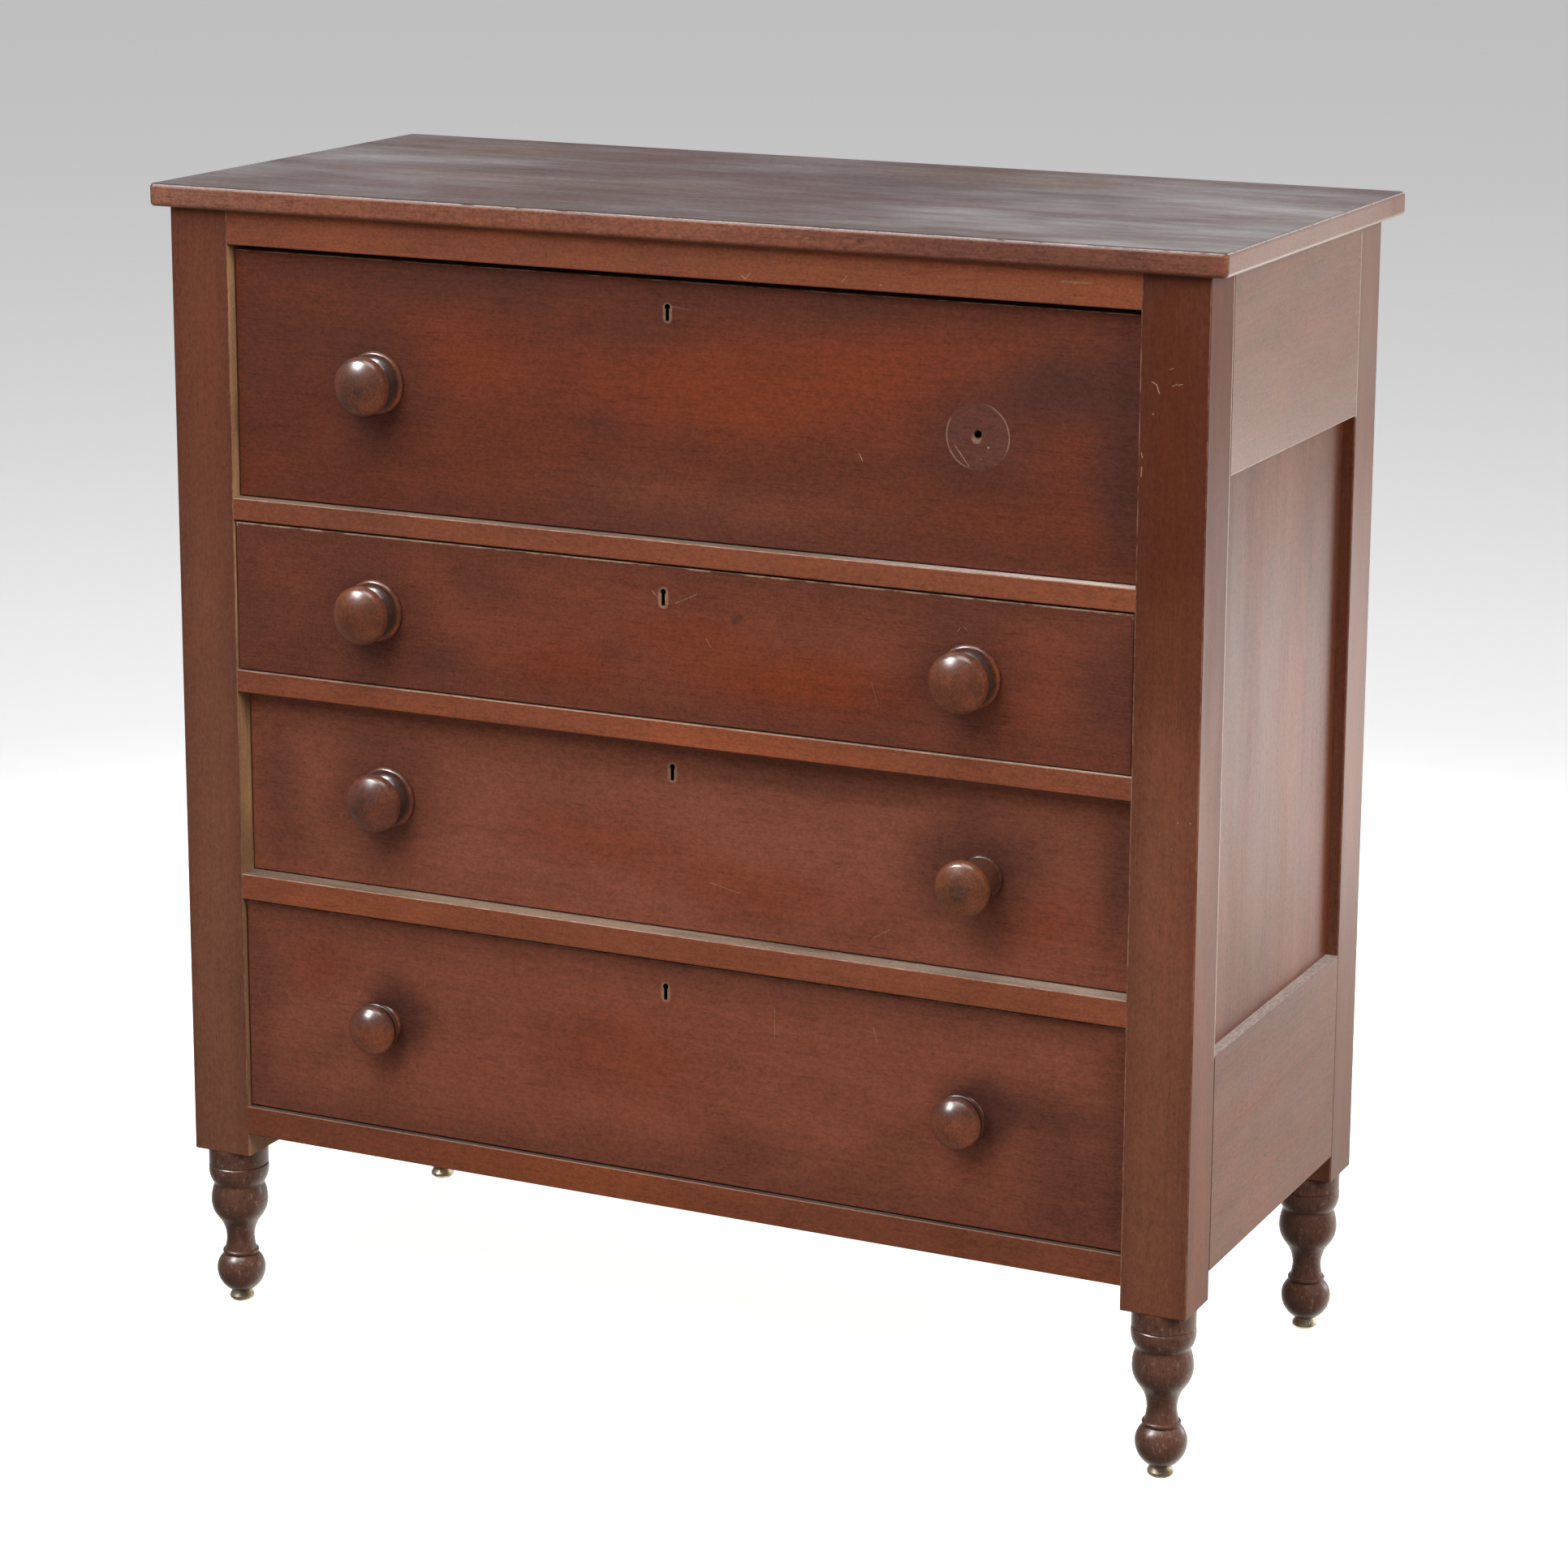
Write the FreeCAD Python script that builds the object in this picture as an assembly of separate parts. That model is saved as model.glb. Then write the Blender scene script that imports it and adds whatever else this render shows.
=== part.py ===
"""Bachelor's chest: four graduated drawers between panelled ends, on turned feet.

Sizes are in millimetres. X runs across the front, +Y points to the back and +Z points up.
The origin lies on the floor, in the middle of the chest's overall box.
Drawers, rails and openings are numbered from the top down.
"""
import FreeCAD, Part
import math
import os
from FreeCAD import Vector

# Carcase
carcase_width = 1000.0
carcase_depth = 440.0
post_width = 60.0
post_depth = 57.0
post_arris = 2.0
foot_height = 156.0
top_thickness = 21.0
top_front_overhang = 9.5
top_side_overhang = 16.5
top_back_overhang = 18.0
top_corner_radius = 5.0
top_edge_round = 4.0

# Front rails and the drawer openings between them
front_top_rail_height = 31.5
divider_1_height = 20.5
divider_2_height = 21.0
divider_3_height = 24.5
bottom_rail_height = 28.0
bottom_rail_rise = 22.0
opening_1_height = 232.0
opening_2_height = 140.5
opening_3_height = 174.0
opening_4_height = 203.0
rail_arris = 1.2
rail_tenon_length = 22.0
rail_tenon_width = 13.0
rail_tenon_shoulder = 3.5
rail_tenon_place_shares = (0.27, 0.73)

# Panelled ends
side_top_rail_height = 173.0
side_bottom_rail_height = 194.0
side_bottom_rail_rise = 26.5
side_rail_thickness = 28.0
side_tenon_length = 26.0
side_tenon_thickness = 9.0
side_tenon_shoulder = 16.0
panel_recess = 11.5
panel_thickness = 9.0
panel_groove_depth = 9.0
panel_play = 1.0

# Back
rabbet_width = 12.0
rabbet_depth = 12.0
back_board_thickness = 11.0
back_board_gap = 1.0
back_board_count = 4
back_rail_height = 60.0
back_rail_thickness = 22.0
back_tenon_thickness = 9.0
back_tenon_shoulder = 8.0

# Runners, guides, kickers and stops inside the carcase
runner_reach = 24.0
runner_lap = 18.0
runner_thickness = 18.0
runner_tenon_length = 10.0
runner_tenon_thickness = 7.0
runner_tenon_shoulder = 4.0
guide_height = 14.0
stop_width = 36.0
stop_depth = 9.0
stop_height = 5.5
stop_spread = 200.0

# Drawer boxes
recess_1 = 11.0
recess_2 = 2.0
recess_3 = 19.0
recess_4 = 5.0
top_gap_1 = 5.0
top_gap_2 = 1.8
top_gap_3 = 1.8
top_gap_4 = 2.0
side_gap = 1.5
front_lift = 0.7
front_thickness = 22.0
front_arris = 1.0
drawer_side_thickness = 12.0
drawer_side_drop = 1.5
drawer_back_thickness = 12.0
drawer_back_drop = 6.0
drawer_back_clearance = 10.0
bottom_groove_rise = 12.0
bottom_groove_height = 6.0
bottom_groove_depth = 6.0
bottom_thickness = 9.0
feather_edge = 5.0
feather_width = 40.0
tail_length = 15.0
tail_pitch = 45.0
tail_base_share = 0.60
tail_slope_share = 1.0 / 6.0

# Locks and keyholes
key_drop = 28.0
keyhole_height = 15.0
keyhole_round = 5.4
keyhole_slot = 3.4
key_cavity_depth = 6.5
key_pin_diameter = 2.4
key_pin_length = 10.0
lock_plate = 2.0
lock_plate_width = 76.0
lock_plate_height = 52.0
lock_case_width = 56.0
lock_case_height = 46.0
lock_case_depth = 9.0
lock_lip = 2.0
bolt_width = 26.0
bolt_thickness = 5.0
bolt_height = 18.0
bolt_sink = 0.4
bolt_mortise_depth = 10.0
bolt_mortise_play = 2.0

# Knobs and their screws
knob_inset = 146.5
knob_flange_diameter = 57.0
knob_flange_thickness = 6.0
knob_neck_diameter = 32.0
knob_head_diameter = 54.0
knob_projection = 41.0
plain_knob_base_diameter = 34.0
plain_knob_neck_diameter = 29.0
plain_knob_diameter = 47.0
plain_knob_projection = 37.0
stemmed_knob_base_diameter = 38.0
stemmed_knob_base_thickness = 5.0
stemmed_knob_stem_diameter = 34.0
stemmed_knob_diameter = 50.0
stemmed_knob_projection = 57.5
stemmed_knob_shift = 7.0
knob_hole_diameter = 7.0
screw_diameter = 5.0
screw_length = 44.0
screw_head_diameter = 11.0
screw_head_height = 3.0
screw_slot_width = 1.2
screw_slot_depth = 1.3

# Turned feet and glides
foot_collar_diameter = 56.5
foot_bead_diameter = 56.8
foot_waist_diameter = 48.0
foot_vase_diameter = 54.0
foot_neck_diameter = 26.5
foot_ring_diameter = 34.5
foot_ball_diameter = 46.0
foot_toe_diameter = 20.0
foot_groove_depth = 0.9
glide_diameter = 23.0
glide_neck_diameter = 17.0
glide_height = 10.0
glide_stem_diameter = 4.0
glide_stem_length = 14.0

# Clearances
glue_line = 0.1
running_clearance = 0.3
overrun = 1.0

# Places worked out from the sizes above
half_width = carcase_width / 2
inner_half = half_width - post_width
recesses = (recess_1, recess_2, recess_3, recess_4)
top_gaps = (top_gap_1, top_gap_2, top_gap_3, top_gap_4)
projections = (knob_projection, knob_projection, stemmed_knob_projection, plain_knob_projection)
knob_reach = max(out - back for out, back in zip(projections, recesses))
front_y = (knob_reach - carcase_depth - top_back_overhang) / 2
back_y = front_y + carcase_depth
front_post_back = front_y + post_depth
back_post_front = back_y - post_depth
back_seat_y = back_y - rabbet_depth
post_centre_x = half_width - post_width / 2
drawer_half = inner_half - side_gap
drawer_inner_half = drawer_half - drawer_side_thickness
knob_spread = drawer_half - knob_inset
drawer_length = (
    carcase_depth - rabbet_depth - back_rail_thickness - drawer_back_clearance - max(recesses)
)


def rail_levels():
    """Bottom and top height of each front rail, from the top rail down to the bottom rail."""
    heights = (
        bottom_rail_height, divider_3_height, divider_2_height, divider_1_height, front_top_rail_height
    )
    openings = (opening_4_height, opening_3_height, opening_2_height, opening_1_height, 0)
    level = foot_height + bottom_rail_rise
    levels = []
    for height, opening in zip(heights, openings):
        levels.append((level, level + height))
        level += height + opening
    return levels[::-1]


rails = rail_levels()
carcase_top = rails[0][1]
side_low_z = foot_height + side_bottom_rail_rise
panel_low_z = side_low_z + side_bottom_rail_height
panel_high_z = carcase_top - side_top_rail_height


class Block:
    """Rectangular block between two corners, made as a solid with an optional allowance all round."""

    def __init__(self, x, y, z):
        self.spans = (x, y, z)

    def solid(self, allowance=0):
        """The block, grown by the allowance on every face."""
        low = [min(span) - allowance for span in self.spans]
        high = [max(span) + allowance for span in self.spans]
        return Part.makeBox(*[b - a for a, b in zip(low, high)], Vector(*low))


def fused(shapes):
    """One clean solid out of shapes that touch or overlap."""
    return shapes[0].multiFuse(shapes[1:]).removeSplitter()


def cut(shape, tools):
    """The shape with every tool taken out of it."""
    return shape.cut(Part.makeCompound(tools))


def mirrored(shape):
    """The same shape on the other side of the chest."""
    return shape.mirror(Vector(0, 0, 0), Vector(1, 0, 0))


def both_sides(shape):
    """The shape and its mirror image."""
    return [shape, mirrored(shape)]


def eased(shape, radius, wanted):
    """The shape with a radius on the edges whose middle point passes the test."""
    edges = [edge for edge in shape.Edges if wanted(edge.BoundBox)]
    return shape.makeFillet(radius, edges)


def lies_at(low, high, place):
    """True where an edge's extent in one direction is the single place given."""
    return abs(low - place) < glue_line and abs(high - place) < glue_line


def prism(points, direction):
    """A closed flat outline carried along a straight direction."""
    wire = Part.makePolygon(points + points[:1])
    return Part.Face(wire).extrude(direction)


def arc(first, middle, last):
    """A circular edge through three points."""
    return Part.Arc(first, middle, last).toShape()


def line(first, last):
    """A straight edge between two points."""
    return Part.LineSegment(first, last).toShape()


def upright_arc(extreme, end):
    """The circular edge that leaves the widest or narrowest place of a profile along the axis."""
    spread = end.x - extreme.x
    rise = end.z - extreme.z
    radius = (spread * spread + rise * rise) / (2 * spread)
    half_turn = math.atan2(rise / radius, 1 - spread / radius) / 2
    across = radius - radius * math.cos(half_turn)
    middle = extreme + Vector(across, 0, radius * math.sin(half_turn))
    return arc(extreme, middle, end)


def dome(rim, tip, shoulder_share):
    """Two tangent circular edges, from an upright rim over its shoulder to a tip on the axis."""
    height = tip.z - rim.z
    shoulder = shoulder_share * height
    inset = rim.x - shoulder
    crown = (inset * inset + height * height - shoulder * shoulder) / (2 * (height - shoulder))
    turn = math.atan2(crown - height, inset)
    shoulder_centre = Vector(inset, 0, rim.z)
    crown_centre = Vector(0, 0, tip.z - crown)

    def on_circle(centre, radius, angle):
        return centre + Vector(radius * math.cos(angle), 0, radius * math.sin(angle))

    meeting = on_circle(shoulder_centre, shoulder, turn)
    return [
        arc(rim, on_circle(shoulder_centre, shoulder, turn / 2), meeting),
        arc(meeting, on_circle(crown_centre, crown, (turn + math.pi / 2) / 2), tip),
    ]


def turned(edges):
    """The solid of revolution about the Z axis of a profile that starts and ends on it."""
    face = Part.Face(Part.Wire(edges))
    solid = Part.makeSolid(face.revolve(Vector(0, 0, 0), Vector(0, 0, 1)).Shells[0])
    if solid.Volume < 0:
        solid.reverse()
    return solid


def moved(shape, place):
    """A copy of the shape, carried to a place."""
    copy = shape.copy()
    copy.translate(place)
    return copy


def drilled_on(shape, diameter, centre, axis, length):
    """The shape with a round hole of the given length along an axis."""
    return shape.cut(Part.makeCylinder(diameter / 2, length, centre, axis))


# Turned feet
def foot_level(share):
    """Height of a place on the foot, as a share of its turned length down from the square post."""
    return foot_height - share * (foot_height - glide_height)


def foot_solid():
    """Collar, bead, vase, ring and ball, turned about the Z axis below the square of a post."""
    groove_shares = (0.118, 0.125, 0.132)
    bead_share = 0.175
    waist_shares = (0.255, 0.268)
    vase_share = 0.375
    slope_share = 0.45
    neck_share = 0.635
    ring_shares = (0.715, 0.730, 0.745)
    ball_share = 0.85

    def at(diameter, share):
        return Vector(diameter / 2, 0, foot_level(share))

    ring_edge = (foot_ring_diameter + foot_neck_diameter) / 2
    top = Vector(0, 0, foot_height + overrun)
    collar_top = Vector(foot_collar_diameter / 2, 0, foot_height + overrun)
    groove_top = at(foot_collar_diameter, groove_shares[0])
    groove = at(foot_collar_diameter - 2 * foot_groove_depth, groove_shares[1])
    bead_top = at(foot_collar_diameter, groove_shares[2])
    waist = at(foot_waist_diameter, waist_shares[0])
    vase_top = at(foot_waist_diameter, waist_shares[1])
    vase = at(foot_vase_diameter, vase_share)
    neck = at(foot_neck_diameter, neck_share)
    slope = vase + (neck - vase) * slope_share
    ring_top = at(ring_edge, ring_shares[0])
    ring_bottom = at(ring_edge, ring_shares[2])
    ball = at(foot_ball_diameter, ball_share)
    toe = at(foot_toe_diameter, 1)
    sole = Vector(0, 0, glide_height)
    return turned([
        line(top, collar_top),
        line(collar_top, groove_top),
        line(groove_top, groove),
        line(groove, bead_top),
        arc(bead_top, at(foot_bead_diameter, bead_share), waist),
        line(waist, vase_top),
        upright_arc(vase, vase_top),
        upright_arc(vase, slope),
        upright_arc(neck, slope),
        upright_arc(neck, ring_top),
        arc(ring_top, at(foot_ring_diameter, ring_shares[1]), ring_bottom),
        upright_arc(ball, ring_bottom),
        upright_arc(ball, toe),
        line(toe, sole),
        line(sole, top),
    ])


def glide_solid():
    """Small spool-shaped metal glide on the Z axis, with the stem that holds it in the foot."""
    rim_share = 0.45
    sole_share = 0.80
    rim = glide_diameter / 2
    stem = glide_stem_diameter / 2
    points = [
        Vector(0, 0, 0),
        Vector(sole_share * rim, 0, 0),
        Vector(rim, 0, rim_share * glide_height / 2),
        Vector(rim, 0, rim_share * glide_height),
        Vector(glide_neck_diameter / 2, 0, glide_height),
        Vector(stem, 0, glide_height),
        Vector(stem, 0, glide_height + glide_stem_length),
        Vector(0, 0, glide_height + glide_stem_length),
    ]
    return turned([line(a, b) for a, b in zip(points, points[1:] + points[:1])])


# Joints that the posts share with the rails
def rail_tenons(level):
    """Twin tenons on the right end of a front rail."""
    z = (level[0] + rail_tenon_shoulder, level[1] - rail_tenon_shoulder)
    x = (inner_half - overrun, inner_half + rail_tenon_length)
    tenons = []
    for share in rail_tenon_place_shares:
        middle = front_y + share * post_depth
        y = (middle - rail_tenon_width / 2, middle + rail_tenon_width / 2)
        tenons.append(Block(x, y, z))
    return tenons


def side_rail_levels():
    """Heights of the top and bottom rails of the ends."""
    return [(panel_high_z, carcase_top), (side_low_z, panel_low_z)]


def side_tenons(level):
    """Front and back tenons of a right-hand side rail."""
    middle = half_width - side_rail_thickness / 2
    x = (middle - side_tenon_thickness / 2, middle + side_tenon_thickness / 2)
    z = (level[0] + side_tenon_shoulder, level[1] - side_tenon_shoulder)
    front = Block(x, (front_post_back - side_tenon_length, front_post_back + overrun), z)
    back = Block(x, (back_post_front - overrun, back_post_front + side_tenon_length), z)
    return [front, back]


def panel_groove():
    """Groove that runs round the opening of the right-hand end and holds its panel."""
    outer = half_width - panel_recess
    return Block(
        (outer - panel_thickness - glue_line, outer + glue_line),
        (front_post_back - panel_groove_depth, back_post_front + panel_groove_depth),
        (panel_low_z - panel_groove_depth, panel_high_z + panel_groove_depth),
    )


def back_rail_levels():
    """Heights of the upper and lower back rails."""
    return [(carcase_top - back_rail_height, carcase_top), (side_low_z, side_low_z + back_rail_height)]


def back_rail_tenon(level):
    """Tenon on the right end of a back rail."""
    middle = back_seat_y - back_rail_thickness / 2
    return Block(
        (inner_half - overrun, inner_half + rail_tenon_length),
        (middle - back_tenon_thickness / 2, middle + back_tenon_thickness / 2),
        (level[0] + back_tenon_shoulder, level[1] - back_tenon_shoulder),
    )


def runner_levels():
    """Heights of the kicker under the top rail and of the runner level with each lower rail."""
    kicker = (rails[0][0], rails[0][0] + runner_thickness)
    return [kicker] + [(top - runner_thickness, top) for bottom, top in rails[1:]]


def runner_tenons(level):
    """Front and back stub tenons of a right-hand runner."""
    middle = (level[0] + level[1]) / 2
    z = (middle - runner_tenon_thickness / 2, middle + runner_tenon_thickness / 2)
    front = Block(
        (inner_half - runner_reach + runner_tenon_shoulder, inner_half - runner_tenon_shoulder),
        (front_post_back - runner_tenon_length, front_post_back + overrun),
        z,
    )
    back = Block(
        (inner_half + runner_tenon_shoulder, inner_half + runner_lap - runner_tenon_shoulder),
        (back_post_front - overrun, back_post_front + runner_tenon_length),
        z,
    )
    return [front, back]


# Carcase
def post(front):
    """Right-hand corner post with its turned foot, cut for the rails, panel and back."""
    low_y, high_y = (front_y, front_post_back) if front else (back_post_front, back_y)
    block = Block((inner_half, half_width), (low_y, high_y), (foot_height, carcase_top)).solid()

    def outer_arris(bound):
        upright = lies_at(bound.XMin, bound.XMax, half_width)
        return upright and bound.ZLength > post_width

    block = eased(block, post_arris, outer_arris)
    block = eased(block, post_arris / 2, lambda bound: lies_at(bound.ZMin, bound.ZMax, foot_height))
    centre_y = (low_y + high_y) / 2
    whole = block.fuse(moved(foot_solid(), Vector(post_centre_x, centre_y, 0)))
    tools = [panel_groove().solid()]
    tools += [t.solid(glue_line) for level in side_rail_levels() for t in side_tenons(level)]
    if front:
        tools += [t.solid(glue_line) for level in rails for t in rail_tenons(level)]
    else:
        tools += [back_rail_tenon(level).solid(glue_line) for level in back_rail_levels()]
        tools += [runner_tenons(level)[1].solid(glue_line) for level in runner_levels()]
        rabbet = Block(
            (inner_half - overrun, inner_half + rabbet_width),
            (back_seat_y, back_y + overrun),
            (side_low_z, carcase_top + overrun),
        )
        tools.append(rabbet.solid())
    stem_hole = glide_stem_diameter + 2 * glue_line
    foot_end = Vector(post_centre_x, centre_y, glide_height - overrun)
    whole = drilled_on(whole, stem_hole, foot_end, Vector(0, 0, 1), overrun + glide_stem_length)
    return cut(whole, tools).removeSplitter()


def foot_glides():
    """The four glides, one under each foot."""
    glides = []
    for y in (front_y + post_depth / 2, back_y - post_depth / 2):
        glides += both_sides(moved(glide_solid(), Vector(post_centre_x, y, 0)))
    return Part.makeCompound(glides)


def top_board():
    """Flat top with rounded corners and eased edges."""
    half = half_width + top_side_overhang
    top = carcase_top + top_thickness
    y = (front_y - top_front_overhang, back_y + top_back_overhang)
    board = Block((-half, half), y, (carcase_top, top)).solid()
    board = eased(board, top_corner_radius, lambda bound: bound.ZLength > top_thickness / 2)
    return eased(board, top_edge_round, lambda bound: bound.ZLength < top_thickness / 2)


def bolt_mortise(index):
    """Slot in the rail above a drawer, where the thrown bolt goes."""
    middle = bolt_y(index)
    x = bolt_width / 2 + bolt_mortise_play
    y = bolt_thickness / 2 + bolt_mortise_play
    bottom = rails[index][0]
    return Block((-x, x), (middle - y, middle + y), (bottom - overrun, bottom + bolt_mortise_depth))


def front_rail(index):
    """Front rail or drawer divider, with its tenons and the mortises for runners and bolt."""
    level = rails[index]
    body = Block((-inner_half, inner_half), (front_y, front_post_back), level).solid()
    body = eased(body, rail_arris, lambda bound: lies_at(bound.YMin, bound.YMax, front_y)
                 and bound.XLength > inner_half)
    tenons = [t.solid() for t in rail_tenons(level)]
    whole = fused([body] + tenons + [mirrored(t) for t in tenons])
    tools = both_sides(runner_tenons(runner_levels()[index])[0].solid(glue_line))
    if index < len(recesses):
        tools.append(bolt_mortise(index).solid())
    return cut(whole, tools)


def side_rail(level):
    """Right-hand rail of an end, grooved for the panel and tenoned into both posts."""
    x = (half_width - side_rail_thickness, half_width)
    body = Block(x, (front_post_back, back_post_front), level).solid()
    whole = fused([body] + [t.solid() for t in side_tenons(level)])
    return cut(whole, [panel_groove().solid()])


def side_panel():
    """Right-hand flat panel, loose in its groove."""
    outer = half_width - panel_recess
    tongue = panel_groove_depth - panel_play
    return Block(
        (outer - panel_thickness, outer),
        (front_post_back - tongue, back_post_front + tongue),
        (panel_low_z - tongue, panel_high_z + tongue),
    ).solid()


def back_rails():
    """Upper and lower rails that tie the back posts and carry the back boards."""
    pieces = []
    for level in back_rail_levels():
        y = (back_seat_y - back_rail_thickness, back_seat_y)
        body = Block((-inner_half, inner_half), y, level).solid()
        tenon = back_rail_tenon(level).solid()
        pieces.append(fused([body] + both_sides(tenon)))
    return Part.makeCompound(pieces)


def back_boards():
    """Boards laid across the back, in the rabbets of the posts."""
    half = inner_half + rabbet_width - back_board_gap / 2
    y = (back_seat_y, back_seat_y + back_board_thickness)
    step = (carcase_top - side_low_z) / back_board_count
    boards = []
    for number in range(back_board_count):
        low = side_low_z + number * step
        boards.append(Block((-half, half), y, (low + back_board_gap, low + step)).solid())
    return Part.makeCompound(boards)


def runner(level):
    """Right-hand strip that a drawer side slides on or under."""
    x = (inner_half - runner_reach, inner_half + runner_lap)
    body = Block(x, (front_post_back, back_post_front), level).solid()
    return fused([body] + [t.solid() for t in runner_tenons(level)])


def guide(level):
    """Right-hand strip on a runner, in line with the posts, that keeps a drawer straight."""
    x = (inner_half, inner_half + runner_lap)
    return Block(x, (front_post_back, back_post_front), (level[1], level[1] + guide_height)).solid()


def drawer_stops():
    """Pairs of blocks on the rails that each drawer front comes to rest against."""
    blocks = []
    for index, recess in enumerate(recesses):
        start = front_y + recess + front_thickness + running_clearance
        z = rails[index + 1][1]
        x = (stop_spread, stop_spread + stop_width)
        blocks += both_sides(Block(x, (start, start + stop_depth), (z, z + stop_height)).solid())
    return Part.makeCompound(blocks)


# Locks
def bolt_y(index):
    """Middle of a drawer's bolt, front to back."""
    return front_y + recesses[index] + front_thickness - lock_plate - lock_case_depth / 2


def keyhole(z, y, length):
    """Keyhole of a round over a slot, as a cut that starts at a place and runs to the back."""
    radius = keyhole_round / 2
    centre = z + keyhole_height / 2 - radius
    ring = Part.makeCylinder(radius, length, Vector(0, y, centre), Vector(0, 1, 0))
    half = keyhole_slot / 2
    slot = Block((-half, half), (y, y + length), (z - keyhole_height / 2, centre)).solid()
    return ring.fuse(slot)


# Knobs
def facing_front(shape):
    """A turned piece with its tip towards -Y and its seat on the XZ plane."""
    quarter_turn = 90
    return shape.rotated(Vector(0, 0, 0), Vector(1, 0, 0), quarter_turn)


def flanged_knob():
    """Mushroom knob on a wide flange, seated at the origin."""
    flange_edge_shares = (0.94, 0.93)
    neck_share = 0.40
    underside_share = 0.80
    rim_shares = (0.54, 0.58, 0.615, 0.65)
    rim_radius_shares = (0.93, 0.985, 0.965, 1.0)
    shoulder_share = 0.62
    flange = knob_flange_diameter / 2
    head = knob_head_diameter / 2
    reach = knob_projection
    seat = Vector(0, 0, 0)
    flange_low = Vector(flange_edge_shares[0] * flange, 0, 0)
    flange_edge = Vector(flange, 0, knob_flange_thickness / 2)
    flange_high = Vector(flange_edge_shares[1] * flange, 0, knob_flange_thickness)
    neck = Vector(knob_neck_diameter / 2, 0, neck_share * reach)
    rim = [Vector(r * head, 0, a * reach) for r, a in zip(rim_radius_shares, rim_shares)]
    underside = Vector(underside_share * head, 0, rim[0].z)
    tip = Vector(0, 0, reach)
    edges = [
        line(seat, flange_low),
        arc(flange_low, flange_edge, flange_high),
        upright_arc(neck, flange_high),
        upright_arc(neck, underside),
        line(underside, rim[0]),
        line(rim[0], rim[1]),
        line(rim[1], rim[2]),
        line(rim[2], rim[3]),
    ]
    return facing_front(turned(edges + dome(rim[3], tip, shoulder_share) + [line(tip, seat)]))


def plain_knob():
    """Smaller knob with no flange and a bead behind its head, seated at the origin."""
    neck_share = 0.18
    bead_shares = (0.36, 0.40, 0.45)
    head_shares = (0.47, 0.60)
    quirk_share = 0.90
    head_share = 0.985
    shoulder_share = 0.55
    bead = plain_knob_diameter / 2
    reach = plain_knob_projection
    seat = Vector(0, 0, 0)
    base = Vector(plain_knob_base_diameter / 2, 0, 0)
    neck = Vector(plain_knob_neck_diameter / 2, 0, neck_share * reach)
    bead_low = Vector(quirk_share * bead, 0, bead_shares[0] * reach)
    bead_edge = Vector(bead, 0, bead_shares[1] * reach)
    bead_high = Vector(quirk_share * bead, 0, bead_shares[2] * reach)
    head_low = Vector(quirk_share * bead, 0, head_shares[0] * reach)
    head = Vector(head_share * bead, 0, head_shares[1] * reach)
    tip = Vector(0, 0, reach)
    edges = [
        line(seat, base),
        upright_arc(neck, base),
        upright_arc(neck, bead_low),
        arc(bead_low, bead_edge, bead_high),
        line(bead_high, head_low),
        upright_arc(head, head_low),
    ]
    return facing_front(turned(edges + dome(head, tip, shoulder_share) + [line(tip, seat)]))


def stemmed_knob():
    """Mushroom knob on a thick stem with no flange, seated at the origin."""
    base_edge_share = 0.93
    stem_share = 0.36
    underside_share = 0.82
    rim_shares = (0.69, 0.72, 0.75, 0.785)
    rim_radius_shares = (0.93, 0.985, 0.965, 1.0)
    shoulder_share = 0.62
    base = stemmed_knob_base_diameter / 2
    head = stemmed_knob_diameter / 2
    reach = stemmed_knob_projection
    seat = Vector(0, 0, 0)
    base_low = Vector(base_edge_share * base, 0, 0)
    base_edge = Vector(base, 0, stemmed_knob_base_thickness / 2)
    base_high = Vector(base_edge_share * base, 0, stemmed_knob_base_thickness)
    stem = Vector(stemmed_knob_stem_diameter / 2, 0, stem_share * reach)
    rim = [Vector(r * head, 0, a * reach) for r, a in zip(rim_radius_shares, rim_shares)]
    underside = Vector(underside_share * head, 0, rim[0].z)
    tip = Vector(0, 0, reach)
    edges = [
        line(seat, base_low),
        arc(base_low, base_edge, base_high),
        upright_arc(stem, base_high),
        upright_arc(stem, underside),
        line(underside, rim[0]),
        line(rim[0], rim[1]),
        line(rim[1], rim[2]),
        line(rim[2], rim[3]),
    ]
    return facing_front(turned(edges + dome(rim[3], tip, shoulder_share) + [line(tip, seat)]))


# Knobs of each drawer from the left: the top drawer has lost its right-hand one
knob_patterns = (
    (flanged_knob,),
    (flanged_knob, flanged_knob),
    (flanged_knob, stemmed_knob),
    (plain_knob, plain_knob),
)


def knob_screw():
    """Slotted screw that comes through the drawer front from inside, placed as the knob is."""
    shank_start = Vector(0, front_thickness - screw_length, 0)
    shank = Part.makeCylinder(screw_diameter / 2, screw_length, shank_start, Vector(0, 1, 0))
    seat = Vector(0, front_thickness, 0)
    head = Part.makeCylinder(screw_head_diameter / 2, screw_head_height, seat, Vector(0, 1, 0))
    half = screw_slot_width / 2
    outside = front_thickness + screw_head_height
    slot = Block(
        (-screw_head_diameter, screw_head_diameter),
        (outside - screw_slot_depth, outside + overrun),
        (-half, half),
    )
    return fused([shank, head]).cut(slot.solid())


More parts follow.
